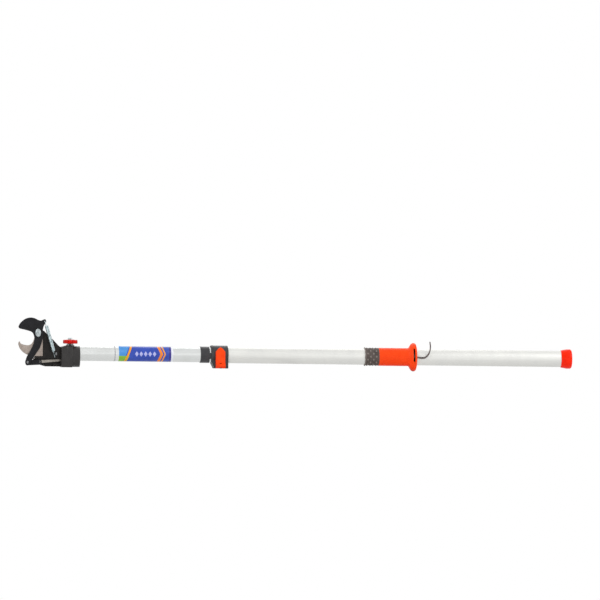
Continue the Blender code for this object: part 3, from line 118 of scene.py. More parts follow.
# Camera: square to the pole but turned a little towards the cutting head. The photograph
# is squeezed along the pole, so the picture is stretched upwards by the same share.
YAW = math.radians(12)
ROLL = math.radians(0.46)
STRETCH = 1.467
VIEW_WIDTH = 1.7167
VIEW_CENTRE = at(824, 0, 109)
VIEW_DISTANCE = 4.0

# Studio, in metres: each lamp's name, place, size and watts. The side lamps stand far round,
# so that the tubes mirror only the low strip in front.
LAMPS = (("left_lamp", (-2.7, -1.8, 1.9), (2, 2), 46),
         ("right_lamp", (3.1, -1.1, 1.6), (2, 2), 40),
         ("back_lamp", (0.2, 2.2, 2.4), (1.8, 1.8), 20),
         ("front_strip", (0.5, -2.6, 0.2), (3.2, 0.4), 4))
WHITE = (1, 1, 1, 1)
SURROUND_LIGHT = 0.62
# The floor's reach each way, its drop below the tool, and the distances between which it fades
FLOOR_REACH = 6
FLOOR_DROP = 0.2 * MM
FADE_FROM, FADE_TO = 0.35, 1.1


def camera():
    """An orthographic camera whose parent leans it, which stretches the picture upwards."""
    ahead = Vector((math.sin(YAW), math.cos(YAW), 0))
    right = Vector((math.cos(YAW), -math.sin(YAW), 0))
    up = Vector((0, 0, 1))
    place = VIEW_CENTRE - ahead * VIEW_DISTANCE
    look = Matrix((right, up, -ahead)).transposed().to_4x4()
    look = Matrix.Translation(place) @ look @ Matrix.Rotation(ROLL, 4, "Z")
    angle = math.acos(1 / STRETCH)
    lean = Matrix(((1, 0, 0, 0), (0, math.cos(angle), 0, 0), (0, math.sin(angle), 1, 0), (0, 0, 0, 1)))
    lens = bpy.data.cameras.new("photo_view")
    lens.type = "ORTHO"
    lens.ortho_scale = VIEW_WIDTH
    eye = bpy.data.objects.new("photo_view", lens)
    rig = bpy.data.objects.new("camera_rig", None)
    for item in (eye, rig):
        bpy.context.scene.collection.objects.link(item)
    eye.parent = rig
    eye.matrix_parent_inverse = look @ lean
    bpy.context.scene.camera = eye


def feed(tree, node, inputs):
    """Fill a node's inputs: each takes a value, an output, or a node whose first output is meant."""
    for name, value in inputs.items():
        if isinstance(value, bpy.types.Node):
            value = value.outputs[0]
        if isinstance(value, bpy.types.NodeSocket):
            tree.links.new(value, node.inputs[name])
        else:
            node.inputs[name].default_value = value


def add(tree, kind, inputs=None, **settings):
    """Add a node with its settings and its inputs."""
    made = tree.nodes.new(kind)
    for name, value in settings.items():
        setattr(made, name, value)
    feed(tree, made, inputs or {})
    return made


def linear(code):
    """Linear colour of an sRGB hex value."""
    parts = [int(code[k:k + 2], 16) / 255 for k in (0, 2, 4)]
    return (*(c / 12.92 if c <= 0.04045 else ((c + 0.055) / 1.055) ** 2.4 for c in parts), 1)


def surroundings():
    """White for what is seen or mirrored of the world, and softer light for what it lights."""
    scene = bpy.context.scene
    scene.view_settings.view_transform = "Standard"
    world = bpy.data.worlds.new("studio")
    scene.world = world
    world.use_nodes = True
    tree = world.node_tree
    tree.nodes.clear()
    path = add(tree, "ShaderNodeLightPath").outputs
    seen = add(tree, "ShaderNodeMath", {0: path["Is Camera Ray"], 1: path["Is Glossy Ray"]},
               operation="MAXIMUM")
    seen = add(tree, "ShaderNodeMath", {0: seen, 1: path["Is Transmission Ray"]}, operation="MAXIMUM")
    light = add(tree, "ShaderNodeBackground", {"Color": WHITE, "Strength": SURROUND_LIGHT})
    white = add(tree, "ShaderNodeBackground", {"Color": WHITE, "Strength": 1.0})
    both = add(tree, "ShaderNodeMixShader", {0: seen, 1: light, 2: white})
    add(tree, "ShaderNodeOutputWorld", {"Surface": both})


def lamps():
    """Three soft lamps and a low strip, all turned to the middle of the tool."""
    for name, place, size, watts in LAMPS:
        lamp = bpy.data.lights.new(name, "AREA")
        lamp.shape = "RECTANGLE"
        lamp.size, lamp.size_y = size
        lamp.energy = watts
        holder = workpiece(name, lamp)
        holder.location = place
        holder.rotation_euler = Vector(place).to_track_quat("Z", "Y").to_euler()


def studio_floor():
    """Pale floor that takes the tool's shadow and fades into the white further out."""
    corners = [(-FLOOR_REACH, -FLOOR_REACH, 0), (FLOOR_REACH, -FLOOR_REACH, 0),
               (FLOOR_REACH, FLOOR_REACH, 0), (-FLOOR_REACH, FLOOR_REACH, 0)]
    sheet = bpy.data.meshes.new("floor")
    sheet.from_pydata(corners, [], [(0, 1, 2, 3)])
    ground = workpiece("floor", sheet)
    ground.location.z = -FLOOR_DROP
    pale, tree, shader, place = surface("matt_studio_floor", 0.9, specular=0.1)
    feed(tree, shader, {"Base Color": linear("f2f2f0")})
    path = add(tree, "ShaderNodeLightPath").outputs
    # distance from the middle, in which a metre along the pole counts as half a metre
    spot = add(tree, "ShaderNodeMapping", {"Vector": place, "Scale": (0.5, 1, 1)})
    reach = add(tree, "ShaderNodeVectorMath", {0: spot}, operation="LENGTH").outputs["Value"]
    far = add(tree, "ShaderNodeMapRange", {"Value": reach, "From Min": FADE_FROM, "From Max": FADE_TO},
              interpolation_type="SMOOTHSTEP")
    faded = add(tree, "ShaderNodeMath", {0: far, 1: path["Is Camera Ray"]}, operation="MULTIPLY")
    seen = add(tree, "ShaderNodeMath", {0: faded, 1: path["Is Glossy Ray"]}, operation="MAXIMUM")
    white = add(tree, "ShaderNodeEmission", {"Color": WHITE, "Strength": 1.0})
    both = add(tree, "ShaderNodeMixShader", {0: seen, 1: shader, 2: white})
    feed(tree, tree.nodes["Material Output"], {"Surface": both})
    sheet.materials.append(pale)


def surface(name, roughness, metallic=0.0, specular=0.5):
    """A new material: its tree, its shader and Object coordinates."""
    made = bpy.data.materials.new(name)
    made.use_nodes = True
    tree = made.node_tree
    shader = tree.nodes["Principled BSDF"]
    feed(tree, shader, {"Roughness": roughness, "Metallic": metallic, "Specular IOR Level": specular})
    return made, tree, shader, add(tree, "ShaderNodeTexCoord").outputs["Object"]


def grain(tree, place, size, along=(1, 1, 1), detail=3.0, rough=0.55):
    """Noise whose grains are size metres wide, stretched by along; returns its grey output."""
    sized = add(tree, "ShaderNodeMapping", {"Vector": place, "Scale": tuple(1 / (size * a) for a in along)})
    noise = {"Vector": sized, "Scale": 1.0, "Detail": detail, "Roughness": rough}
    return add(tree, "ShaderNodeTexNoise", noise).outputs[0]


def between(tree, grey, dark, pale, low=0.3, high=0.7):
    """Colour that runs from one hex value to the other as a grey output goes from low to high."""
    ramp = add(tree, "ShaderNodeValToRGB", {"Fac": grey})
    ends = ramp.color_ramp.elements
    ends[0].position, ends[1].position = low, high
    ends[0].color, ends[1].color = linear(dark), linear(pale)
    return ramp.outputs[0]


def strip_mask(tree, value, low, high):
    """Grey output that is 1 where a value lies between two limits."""
    above = add(tree, "ShaderNodeMath", {0: value, 1: low}, operation="GREATER_THAN")
    below = add(tree, "ShaderNodeMath", {0: value, 1: high}, operation="LESS_THAN")
    return add(tree, "ShaderNodeMath", {0: above, 1: below}, operation="MULTIPLY").outputs[0]


def edge_wear(tree, radius, spots):
    """Grey output that is 1 on worn edges and 0 on flats."""
    soft = add(tree, "ShaderNodeBevel", {"Radius": radius}, samples=4)
    flat = add(tree, "ShaderNodeNewGeometry").outputs["Normal"]
    match = add(tree, "ShaderNodeVectorMath", {0: soft, 1: flat}, operation="DOT_PRODUCT").outputs["Value"]
    edge = add(tree, "ShaderNodeMapRange", {"Value": match, "From Min": 0.99, "From Max": 0.86})
    patch = add(tree, "ShaderNodeMapRange", {"Value": spots, "From Min": 0.42, "From Max": 0.6})
    return add(tree, "ShaderNodeMath", {0: edge, 1: patch}, operation="MULTIPLY").outputs[0]


def from_axis(tree, place):
    """A place's coordinates apart, and its distance from the pole's axis."""
    parts = add(tree, "ShaderNodeSeparateXYZ", {0: place}).outputs
    height = add(tree, "ShaderNodeMath", {0: parts[2], 1: -AXIS_HEIGHT}, operation="ADD")
    across = add(tree, "ShaderNodeCombineXYZ", {1: parts[1], 2: height})
    return parts, add(tree, "ShaderNodeVectorMath", {0: across}, operation="LENGTH").outputs["Value"]


def e_coated_forging():
    """E-coated forged steel: satin black with a faint forging skin, and paler where edges rub."""
    made, tree, shader, place = surface("e_coated_forged_steel", 0.42, specular=0.16)
    colour = between(tree, grain(tree, place, 5 * MM), "151517", "202024")
    wear = edge_wear(tree, 0.7 * MM, grain(tree, place, 3 * MM))
    worn = add(tree, "ShaderNodeMix", {0: wear, 6: colour, 7: linear("58585b")}, data_type="RGBA")
    # forging skin after coating: shallow dimples about 1.6 mm across
    dimples = grain(tree, place, 1.6 * MM)
    rough = add(tree, "ShaderNodeMapRange", {"Value": dimples, "To Min": 0.36, "To Max": 0.5})
    bump = add(tree, "ShaderNodeBump", {"Height": dimples, "Distance": 0.05 * MM, "Strength": 0.7})
    feed(tree, shader, {"Base Color": worn.outputs[2], "Roughness": rough, "Normal": bump})
    return made


def cast_plate_coat():
    """Powder coat on a die casting: fine orange peel, a little browner and duller than the forging."""
    made, tree, shader, place = surface("powder_coated_casting", 0.5, specular=0.16)
    colour = between(tree, grain(tree, place, 7 * MM), "1a1918", "272422")
    wear = edge_wear(tree, 0.6 * MM, grain(tree, place, 2.5 * MM))
    worn = add(tree, "ShaderNodeMix", {0: wear, 6: colour, 7: linear("5c5955")}, data_type="RGBA")
    # orange peel of powder coat: swells about 1 mm across
    peel = grain(tree, place, 1 * MM, detail=1.0)
    bump = add(tree, "ShaderNodeBump", {"Height": peel, "Distance": 0.04 * MM, "Strength": 0.8})
    feed(tree, shader, {"Base Color": worn.outputs[2], "Normal": bump})
    return made


def ground_steel():
    """Surface-ground tool steel: warm grey with fine parallel grinding lines and a few oil stains."""
    made, tree, shader, place = surface("surface_ground_tool_steel", 0.42, metallic=0.8)
    # real grinding lines are under 0.1 mm apart; drawn at 0.4 mm so that they show
    lines = grain(tree, place, 0.4 * MM, along=(28, 1, 1), detail=2.0)
    stain = grain(tree, place, 9 * MM)
    mixed = add(tree, "ShaderNodeMath", {0: lines, 1: stain}, operation="ADD")
    half = add(tree, "ShaderNodeMath", {0: mixed, 1: 0.5}, operation="MULTIPLY").outputs[0]
    rough = add(tree, "ShaderNodeMapRange", {"Value": stain, "To Min": 0.34, "To Max": 0.54})
    bump = add(tree, "ShaderNodeBump", {"Height": lines, "Distance": 0.02 * MM, "Strength": 0.6})
    feed(tree, shader, {"Base Color": between(tree, half, "8b7f77", "b0a49b", 0.36, 0.64),
                        "Roughness": rough, "Normal": bump})
    return made


def metal(name, dark, pale, roughness, patch, metallic=1.0, lines=None):
    """A bare or plated metal with soft patches of tone, and lines drawn along one direction if asked."""
    made, tree, shader, place = surface(name, roughness, metallic=metallic)
    cloud = grain(tree, place, patch)
    height = cloud
    if lines:
        size, along = lines
        height = grain(tree, place, size, along=along, detail=2.0)
        mixed = add(tree, "ShaderNodeMath", {0: cloud, 1: height}, operation="ADD")
        cloud = add(tree, "ShaderNodeMath", {0: mixed, 1: 0.5}, operation="MULTIPLY").outputs[0]
    rough = add(tree, "ShaderNodeMapRange", {"Value": cloud, "From Min": 0.3, "From Max": 0.7,
                                             "To Min": roughness - 0.06, "To Max": roughness + 0.06})
    bump = add(tree, "ShaderNodeBump", {"Height": height, "Distance": 0.015 * MM, "Strength": 0.5})
    feed(tree, shader, {"Base Color": between(tree, cloud, dark, pale, 0.35, 0.65),
                        "Roughness": rough, "Normal": bump})
    return made


def moulded(name, dark, pale, roughness, texture, specular=0.4, flow=30 * MM):
    """A moulded plastic: slow flow tones and the spark-eroded texture of its mould, texture metres across."""
    made, tree, shader, place = surface(name, roughness, specular=specular)
    fine = grain(tree, place, texture, detail=1.5)
    rough = add(tree, "ShaderNodeMapRange", {"Value": fine, "From Min": 0.3, "From Max": 0.7,
                                             "To Min": roughness - 0.05, "To Max": roughness + 0.07})
    bump = add(tree, "ShaderNodeBump", {"Height": fine, "Distance": texture * 0.05, "Strength": 0.6})
    feed(tree, shader, {"Base Color": between(tree, grain(tree, place, flow), dark, pale),
                        "Roughness": rough, "Normal": bump})
    return made


def rubbed_rubber():
    """Moulded collar rubber: matt brown-grey with a dusty bloom, rubbed pale on what stands proud."""
    made, tree, shader, place = surface("moulded_collar_rubber", 0.6, specular=0.2)
    base = between(tree, grain(tree, place, 12 * MM), "4b4340", "5f5652")
    # the sleeve is about 17 mm in radius and its dots 18 mm
    reach = from_axis(tree, place)[1]
    proud = add(tree, "ShaderNodeMapRange", {"Value": reach, "From Min": 17.2 * MM, "From Max": 17.7 * MM})
    dusty = add(tree, "ShaderNodeMix", {0: proud, 6: base, 7: linear("867d78")}, data_type="RGBA")
    # dry mould texture about 0.4 mm across
    fine = grain(tree, place, 0.4 * MM, detail=1.5)
    bump = add(tree, "ShaderNodeBump", {"Height": fine, "Distance": 0.02 * MM, "Strength": 0.6})
    feed(tree, shader, {"Base Color": dusty.outputs[2], "Normal": bump})
    return made


def soft_touch_skin():
    """Soft-touch skin of the grip: fine, matt orange, with painted shade darkening the walls of the wire's
    slot.
    """
    made = moulded("soft_touch_orange", "f8430a", "ff4d14", 0.46, 0.45 * MM, specular=0.14, flow=20 * MM)
    tree = made.node_tree
    colour = tree.nodes["Principled BSDF"].inputs["Base Color"]
    parts, reach = from_axis(tree, add(tree, "ShaderNodeTexCoord").outputs["Object"])
    # painted shade: the slot's walls darken where they lie more than 1.5 mm below the flange's rim, which is
    # 27.6 mm in radius
    deep = add(tree, "ShaderNodeMapRange", {"Value": reach, "From Min": 26 * MM, "From Max": 24 * MM})
    middle = at(SLOT_X, 0, 0).x
    slot = strip_mask(tree, parts[0], middle - 4 * MM, middle + 4 * MM)
    both = add(tree, "ShaderNodeMath", {0: deep, 1: slot}, operation="MULTIPLY")
    skin = colour.links[0].from_socket
    # painted shade: inside the slot the orange skin is mixed towards a dark brown
    painted_slot_shade = add(tree, "ShaderNodeMix", {0: both, 6: skin, 7: linear("2b1814")}, data_type="RGBA")
    tree.links.new(painted_slot_shade.outputs[2], colour)
    return made


# Finishes, each named for what the piece is made of and how its surface was made
FORGED = e_coated_forging()
CAST = cast_plate_coat()
GROUND = ground_steel()
# zinc plate dulled by use: grey with cloudy patches a few millimetres across
DULL_ZINC = metal("dull_zinc_plate", "5e5f60", "8a8b8c", 0.42, 2.5 * MM)
# bright zinc of the big bolt: pale blue-grey, cloudy
BRIGHT_ZINC = metal("bright_zinc_plate", "878f91", "c9d1d2", 0.34, 3 * MM)
# nickel-plated spring wire: a cool silver
SPRING_WIRE = metal("nickel_plated_wire", "a4b2b5", "c6d3d5", 0.34, 6 * MM)
# hot-rolled strip, wiped clean: brown-grey with lines along its length
ROLLED = metal("rolled_strip_steel", "7a766f", "a8a29a", 0.45, 6 * MM, 0.85, (0.4 * MM, (40, 1, 1)))
# drawn and polished tube: clear lines along the pole, drawn 0.5 mm apart so that they show
POLISHED = metal("drawn_polished_aluminium", "cfd1cf", "dbdddc", 0.4, 40 * MM, 1.0, (0.5 * MM, (160, 1, 1)))
# satin anodised tube: even, soft and pale
SATIN = metal("satin_anodised_aluminium", "d7d7d4", "dfdfdb", 0.56, 30 * MM, 1.0, (0.4 * MM, (90, 1, 1)))
# phosphated and oiled spring wire: brown-black with dull patches
PHOSPHATED = metal("phosphated_wire", "463e3d", "6f6563", 0.42, 3 * MM, 0.6)
# glass-filled nylon: near black, with a dry mould texture of about 0.5 mm
NYLON = moulded("glass_filled_nylon", "292727", "373534", 0.42, 0.5 * MM, specular=0.3)
# the clamp's nylon: the same, a little paler
CLAMP_NYLON = moulded("clamp_nylon", "313134", "403f42", 0.42, 0.5 * MM, specular=0.3)
RUBBER = rubbed_rubber()
# grey ink of the ring round the upper tube: patchy, half rubbed away
RUBBED_INK = moulded("rubbed_grey_ink", "8b8b91", "d2d3d3", 0.5, 0.6 * MM, flow=3 * MM)
# glossy red nylon of the knob
RED_NYLON = moulded("glossy_red_nylon", "b00a04", "dc0f04", 0.2, 0.8 * MM, specular=0.16, flow=9 * MM)
# orange ABS of the lever: smooth and slightly glossy
ORANGE_ABS = moulded("orange_abs", "f43f06", "ff4c0c", 0.3, 0.6 * MM, specular=0.16, flow=14 * MM)
ORANGE_SKIN = soft_touch_skin()
# orange-red PVC of the end cap
CAP_PVC = moulded("dipped_cap_pvc", "ee1f00", "ff2b02", 0.34, 0.8 * MM, specular=0.12, flow=16 * MM)
# turned acetal: off-white, slightly waxy
ACETAL = moulded("turned_acetal", "c9c9c4", "dcdcd7", 0.4, 0.6 * MM)


def shown(name, mesh, body, finish, slot, *nodes):
    """Put a finished mesh in the scene as a piece that rides on a body and stands for CAD nodes."""
    piece = workpiece(name, mesh)
    if finish and not mesh.materials:
        mesh.materials.append(finish)
    if body:
        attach(piece, body)
    if nodes:
        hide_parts(*nodes)
    return piece


def workpiece(name, data):
    """An object in the scene that holds a mesh, a curve or a lamp."""
    host = bpy.data.objects.new(name, data)
    bpy.context.scene.collection.objects.link(host)
    return host


def settled(host, sharp=32):
    """The plain mesh of an object with its modifiers, smooth but for its sharp edges; the object goes."""
    bpy.context.view_layer.update()
    mesh = bpy.data.meshes.new_from_object(host.evaluated_get(bpy.context.evaluated_depsgraph_get()))
    mesh.name = host.name
    old = host.data
    bpy.data.objects.remove(host)
    if old.users == 0:
        bpy.data.batch_remove([old])
    for face in mesh.polygons:
        face.use_smooth = True
    mesh.set_sharp_from_angle(angle=math.radians(sharp))
    return mesh


def merged(node):
    """A copy of a CAD node's mesh with its loose triangles joined and its flat faces made whole."""
    work = bmesh.new()
    work.from_mesh(NODES[node].data)
    bmesh.ops.remove_doubles(work, verts=work.verts, dist=2e-6)
    bmesh.ops.dissolve_limit(work, angle_limit=math.radians(0.6), verts=work.verts, edges=work.edges)
    return finished_mesh(node + "_shape", work)


def finished_mesh(name, work):
    """The mesh of a bmesh, which is freed."""
    mesh = bpy.data.meshes.new(name)
    work.to_mesh(mesh)
    work.free()
    return mesh


def combine(host, others, operation):
    """Cut other objects out of one, or join them to it, by modifiers that are still to be settled."""
    for k, other in enumerate(others):
        step = host.modifiers.new(f"{operation} {k}", "BOOLEAN")
        step.operation = operation
        step.object = other
        step.solver = "EXACT"


def eased(node, radius, finish, slot, cuts=(), adds=(), change=None, mesh=None):
    """A CAD node's shape with its edges rounded, cuts and additions made in it, shown in its place."""
    mesh = mesh or merged(node)
    if change:
        for point in mesh.vertices:
            point.co += change(point.co)
    host = workpiece(node + "_shape", mesh)
    combine(host, cuts, "DIFFERENCE")
    combine(host, adds, "UNION")
    edge = host.modifiers.new("Edges", "BEVEL")
    edge.width = radius
    edge.segments = 3
    edge.limit_method = "ANGLE"
    edge.angle_limit = math.radians(34)
    edge.use_clamp_overlap = True
    even = host.modifiers.new("Even", "WEIGHTED_NORMAL")
    even.keep_sharp = True
    result = settled(host)
    for other in (*cuts, *adds):
        bpy.data.objects.remove(other)
    return shown(node + "_look", result, BODY_OF[node], finish, slot, node)


def turned(name, profile, place, axis, steps=96):
    """Mesh of a turned piece: (radius, height) points in millimetres run from the start of its axis."""
    lie = Vector(axis).to_track_quat("Z", "Y").to_matrix().to_4x4()
    work = bmesh.new()
    rings = []
    for radius, height in profile:
        if radius == 0:
            rings.append([work.verts.new((0, 0, height * MM))])
        else:
            rings.append([work.verts.new((radius * MM * math.cos(2 * math.pi * k / steps),
                                          radius * MM * math.sin(2 * math.pi * k / steps), height * MM))
                          for k in range(steps)])
    closed = len(rings[0]) > 1 and len(rings[-1]) > 1
    pairs = list(zip(rings, rings[1:])) + ([(rings[-1], rings[0])] if closed else [])
    for first, second in pairs:
        for k in range(steps):
            following = (k + 1) % steps
            corners = [first[k % len(first)], first[following % len(first)],
                       second[following % len(second)], second[k % len(second)]]
            corners = [c for n, c in enumerate(corners) if c not in corners[:n]]
            if len(corners) > 2:
                work.faces.new(corners)
    bmesh.ops.recalc_face_normals(work, faces=work.faces)
    mesh = finished_mesh(name, work)
    mesh.transform(Matrix.Translation(place) @ lie)
    return mesh


def box_shape(name, low, high):
    """A box between two corners, as a tool for a cut."""
    work = bmesh.new()
    bmesh.ops.create_cube(work, size=1)
    mesh = finished_mesh(name, work)
    mesh.transform(Matrix.Translation((low + high) / 2) @ Matrix.Diagonal((*(high - low), 1)))
    return workpiece(name, mesh)


def prism(name, outline, along):
    """Mesh of a flat outline, given as places, that is drawn out by a vector."""
    work = bmesh.new()
    face = work.faces.new([work.verts.new(p) for p in outline])
    grown = bmesh.ops.extrude_face_region(work, geom=[face])
    far = [item for item in grown["geom"] if isinstance(item, bmesh.types.BMVert)]
    bmesh.ops.translate(work, verts=far, vec=along)
    bmesh.ops.recalc_face_normals(work, faces=work.faces)
    return finished_mesh(name, work)


def drill(name, x, z, diameter, y_low=-14, y_high=20):
    """A cylinder across the pole as a tool for a cut; sizes in millimetres."""
    profile = [(0, 0), (diameter / 2, 0), (diameter / 2, y_high - y_low), (0, y_high - y_low)]
    return workpiece(name, turned(name, profile, at(x, y_low, z), (0, 1, 0), 40))


def arc(cx, cz, radius, start, end, steps):
    """Points on an arc; angles in degrees."""
    angles = [math.radians(start + (end - start) * k / steps) for k in range(steps + 1)]
    return [(cx + radius * math.cos(a), cz + radius * math.sin(a)) for a in angles]


def flowing(points, steps=6):
    """A smooth run of places through the given ones, ends included."""
    points = [Vector((*p, 0)[:3]) for p in points]
    ends = [points[0], *points, points[-1]]
    run = []
    for p0, p1, p2, p3 in zip(ends, ends[1:], ends[2:], ends[3:]):
        for k in range(steps):
            t = k / steps
            run.append(0.5 * (2 * p1 + (p2 - p0) * t + (2 * p0 - 5 * p1 + 4 * p2 - p3) * t * t
                              + (3 * p1 - p0 - 3 * p2 + p3) * t ** 3))
    return run + [points[-1]]


def rule(name, **sockets):
    """An empty Geometry Nodes tree with named inputs; returns the tree, its inputs and a closing step."""
    tree = bpy.data.node_groups.new(name, "GeometryNodeTree")
    tree.interface.new_socket("Shape", in_out="INPUT", socket_type="NodeSocketGeometry")
    for label, kind in sockets.items():
        tree.interface.new_socket(label, in_out="INPUT", socket_type="NodeSocket" + kind)
    tree.interface.new_socket("Shape", in_out="OUTPUT", socket_type="NodeSocketGeometry")
    given = add(tree, "NodeGroupInput").outputs

    def close(shape, finish):
        """End the tree: realize what is instanced, and give it its material."""
        real = add(tree, "GeometryNodeRealizeInstances", {0: shape})
        dressed = add(tree, "GeometryNodeSetMaterial", {0: real, "Material": finish})
        add(tree, "NodeGroupOutput", {0: dressed})
        return tree
    return tree, given, close


def follow_rule(name, mesh, tree, values, sharp):
    """Run a tree on a mesh with its named inputs set, and return the plain mesh."""
    host = workpiece(name, mesh)
    step = host.modifiers.new(tree.name, "NODES")
    step.node_group = tree
    for item in tree.interface.items_tree:
        if item.in_out == "INPUT" and item.name in values:
            step[item.identifier] = values[item.name]
    return settled(host, sharp)


def blade_grind(point):
    """Ground bevel on the near side of the beak's cutting edge: its front corner is set back upwards."""
    x, z = (point.x - PIVOT.x) / MM, (point.z - PIVOT.z) / MM
    tip, heel, low, high, depth = -53, -13, -2.5, 9.8, 3.6
    if point.y < (BLADE_FACE + 0.5) * MM and tip < x < heel and low < z < high:
        return Vector((0, 0, depth * MM * min(1, (x - tip) / 9) * min(1, (heel - x) / 6)))
    return Vector()


def hook_grind(point):
    """Ground bevel on the far side of the hook's inner edge."""
    x, z = (point.x - PIVOT.x) / MM, (point.z - PIVOT.z) / MM
    tip, heel, low, depth = -51.5, -10, -25, 3
    if point.y > (HOOK_FACE + HOOK_THICK - 0.5) * MM and tip < x < heel and z > low:
        return Vector((0, 0, -depth * MM * min(1, (x - tip) / 7) * min(1, (heel - x) / 5)))
    return Vector()


def from_pivot(points):
    """Places of a flat outline whose points are counted from the pivot, in millimetres."""
    return [(PIVOT_X + x, PIVOT_Z + z) for x, z in points]


def blade_shape():
    """The blade's outline on smooth curves: beak, lug, back, eye and front."""
    top = flowing(from_pivot([(-56.8, 11.9), (-50.8, 19.3), (-37, 27), (-22.5, 29.68), (-10.5, 28.6),
                              (0.5, 25.2), (8.6, 23.9), (15, 25.6)]), 8)
    lug = arc(LUG_X, LUG_Z, 4.2, 110, -60, 16)
    back = flowing(from_pivot([(16.5, 12.6), (14.5, 6), (16.2, -3), (14.1, -10.9), (7.4, -26.7),
                               (-1.4, -36.8), (-11.9, -46.8)]), 8)
    eye = arc(EYE_X, EYE_Z, 6.4, -46, -200, 22)
    front = flowing(from_pivot([(-32.3, -47), (-15.9, -27), (-9.8, -13), (-11, -6.5), (-14.4, -0.9),
                                (-21.1, 2.3), (-36, 5.1), (-50.9, 7.4), (-55.6, 9.6)]), 8)
    outline = [at(p[0], BLADE_FACE, p[1]) for p in (*top, *lug, *back, *eye, *front)]
    return prism("cutting_blade_shape", outline, Vector((0, BLADE_THICK * MM, 0)))


def hook_shape():
    """The hook blade's outline on smooth curves."""
    inner = flowing(from_pivot([(-52.1, -17), (-48.6, -21.4), (-36, -24), (-24, -23.9), (-15.4, -19.2),
                                (-9.4, -11)]), 8)
    boss_radius, corner_radius = 9.3, 4.2
    boss = arc(PIVOT_X, PIVOT_Z, boss_radius, 180, 20, 22)
    edge, foot = 71.7, -6.2
    side = [(edge, PIVOT_Z - 0.9 * boss_radius), (edge, foot)]
    meets = math.degrees(math.asin((foot - SCREW_Z) / corner_radius))
    corner = arc(SCREW_X, SCREW_Z, corner_radius, meets, -210, 18)
    outer = flowing(from_pivot([(-31.6, -42.4), (-41.8, -38), (-50.9, -31.2), (-55.6, -23.4),
                                (-54.9, -18.4)]), 8)
    outline = [at(p[0], HOOK_FACE, p[1]) for p in (*inner, *boss, *side, *corner, *outer)]
    return prism("hook_blade_shape", outline, Vector((0, HOOK_THICK * MM, 0)))


def cutting_head():
    """Blades, plate, link and strip."""
    holes = [drill("pivot_hole", PIVOT_X, PIVOT_Z, PIVOT_HOLE), drill("eye_hole", EYE_X, EYE_Z, 4.6),
             drill("lug_hole", LUG_X, LUG_Z, 2.8)]
    eased("cutting_blade", 0.7 * MM, FORGED, "black_enamel", change=blade_grind, mesh=blade_shape(),
          cuts=holes)
    holes = [drill("pivot_hole", PIVOT_X, PIVOT_Z, PIVOT_HOLE), drill("screw_hole", SCREW_X, SCREW_Z, 3.8),
             drill("screw_seat", SCREW_X, SCREW_Z, 7.2, -4, 0.3)]
    eased("hook_blade", 0.35 * MM, GROUND, "hook_steel", change=hook_grind, mesh=hook_shape(), cuts=holes)
    eased("head_plate", 0.8 * MM, CAST, "black_enamel")
    eased("link_bar", 0.6 * MM, FORGED, "black_enamel")
    eased("pull_strip", 0.7 * MM, ROLLED, "bright_steel")
    eased("link_pin", 0.25 * MM, DULL_ZINC, "bright_steel")
    eased("hook_screw", 0.3 * MM, DULL_ZINC, "bright_steel")
    eased("strip_pin", 0.3 * MM, DULL_ZINC, "bright_steel")
    # half the size of the plate screws' driver slots, which go 1.2 mm into their outer faces
    half_slot = Vector((2.6, 1.2, 0.5)) * MM
    for side in ("front", "rear"):
        low, high = (Vector(c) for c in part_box("plate_screw_" + side))
        face = low.y if side == "front" else high.y
        middle = Vector(((low.x + high.x) / 2, face, (low.z + high.z) / 2))
        slot = box_shape("driver_slot", middle - half_slot, middle + half_slot)
        eased("plate_screw_" + side, 0.3 * MM, DULL_ZINC, "bright_steel", cuts=[slot])
    eased("pivot_nut", 0.7 * MM, BRIGHT_ZINC, "bright_steel")
    pivot_bolt()


def pivot_bolt():
    """Big domed bolt with a driver slot and a turned thread behind the nut."""
    dome = [(0, -4), (2.5, -3.95), (4.6, -3.8), (6.2, -3.45), (7.5, -2.8), (8.3, -1.9), (8.5, -0.9),
            (8.5, -0.35), (8.2, 0)]
    seat, shank, groove, pitch = 7.8, 4, 0.45, 1.0
    plain_end, height, end = 16.5, 17.0, 24.5
    thread = []
    while height < end - pitch:
        thread += [(shank, height), (shank - groove, height + pitch / 2)]
        height += pitch
    profile = dome + [(shank, 0), (shank, plain_end)] + thread + [(3.7, end - 0.6), (3.1, end), (0, end)]
    bolt = turned("pivot_bolt", profile, PIVOT + Vector((0, -seat * MM, 0)), (0, 1, 0), 64)
    host = workpiece("pivot_bolt_shape", bolt)
    low, high = Vector((-10, -13, -0.9)) * MM, Vector((10, -10.4, 0.9)) * MM
    slot = box_shape("driver_slot", PIVOT + low, PIVOT + high)
    tilt = Matrix.Rotation(math.radians(38), 4, "Y")
    slot.data.transform(Matrix.Translation(PIVOT) @ tilt @ Matrix.Translation(-PIVOT))
    combine(host, [slot], "DIFFERENCE")
    result = settled(host)
    bpy.data.objects.remove(slot)
    shown("pivot_bolt_look", result, "head", BRIGHT_ZINC, "bright_steel", "pivot_bolt")


def coil_rule():
    """Tree for the spring: a spiral by its turns, joined to the two hooked ends, made into wire."""
    tree, given, close = rule("wound_spring", Turns="Float", Radius="Float", Length="Float", Wire="Float",
                              Start="Vector", Turn="Rotation")
    spiral = add(tree, "GeometryNodeCurveSpiral", {
        "Resolution": 26, "Rotations": given["Turns"], "Start Radius": given["Radius"],
        "End Radius": given["Radius"], "Height": given["Length"]})
    placed = add(tree, "GeometryNodeTransform", {"Geometry": spiral, "Translation": given["Start"],
                                                 "Rotation": given["Turn"]})
    ends = add(tree, "GeometryNodeMeshToCurve", {"Mesh": given["Shape"]})
    both = add(tree, "GeometryNodeJoinGeometry")
    for part in (placed, ends):
        feed(tree, both, {0: part})
    section = add(tree, "GeometryNodeCurvePrimitiveCircle", {"Resolution": 10, "Radius": given["Wire"]})
    wire = add(tree, "GeometryNodeCurveToMesh", {"Curve": both, "Profile Curve": section, "Fill Caps": True})
    return close(wire, SPRING_WIRE)


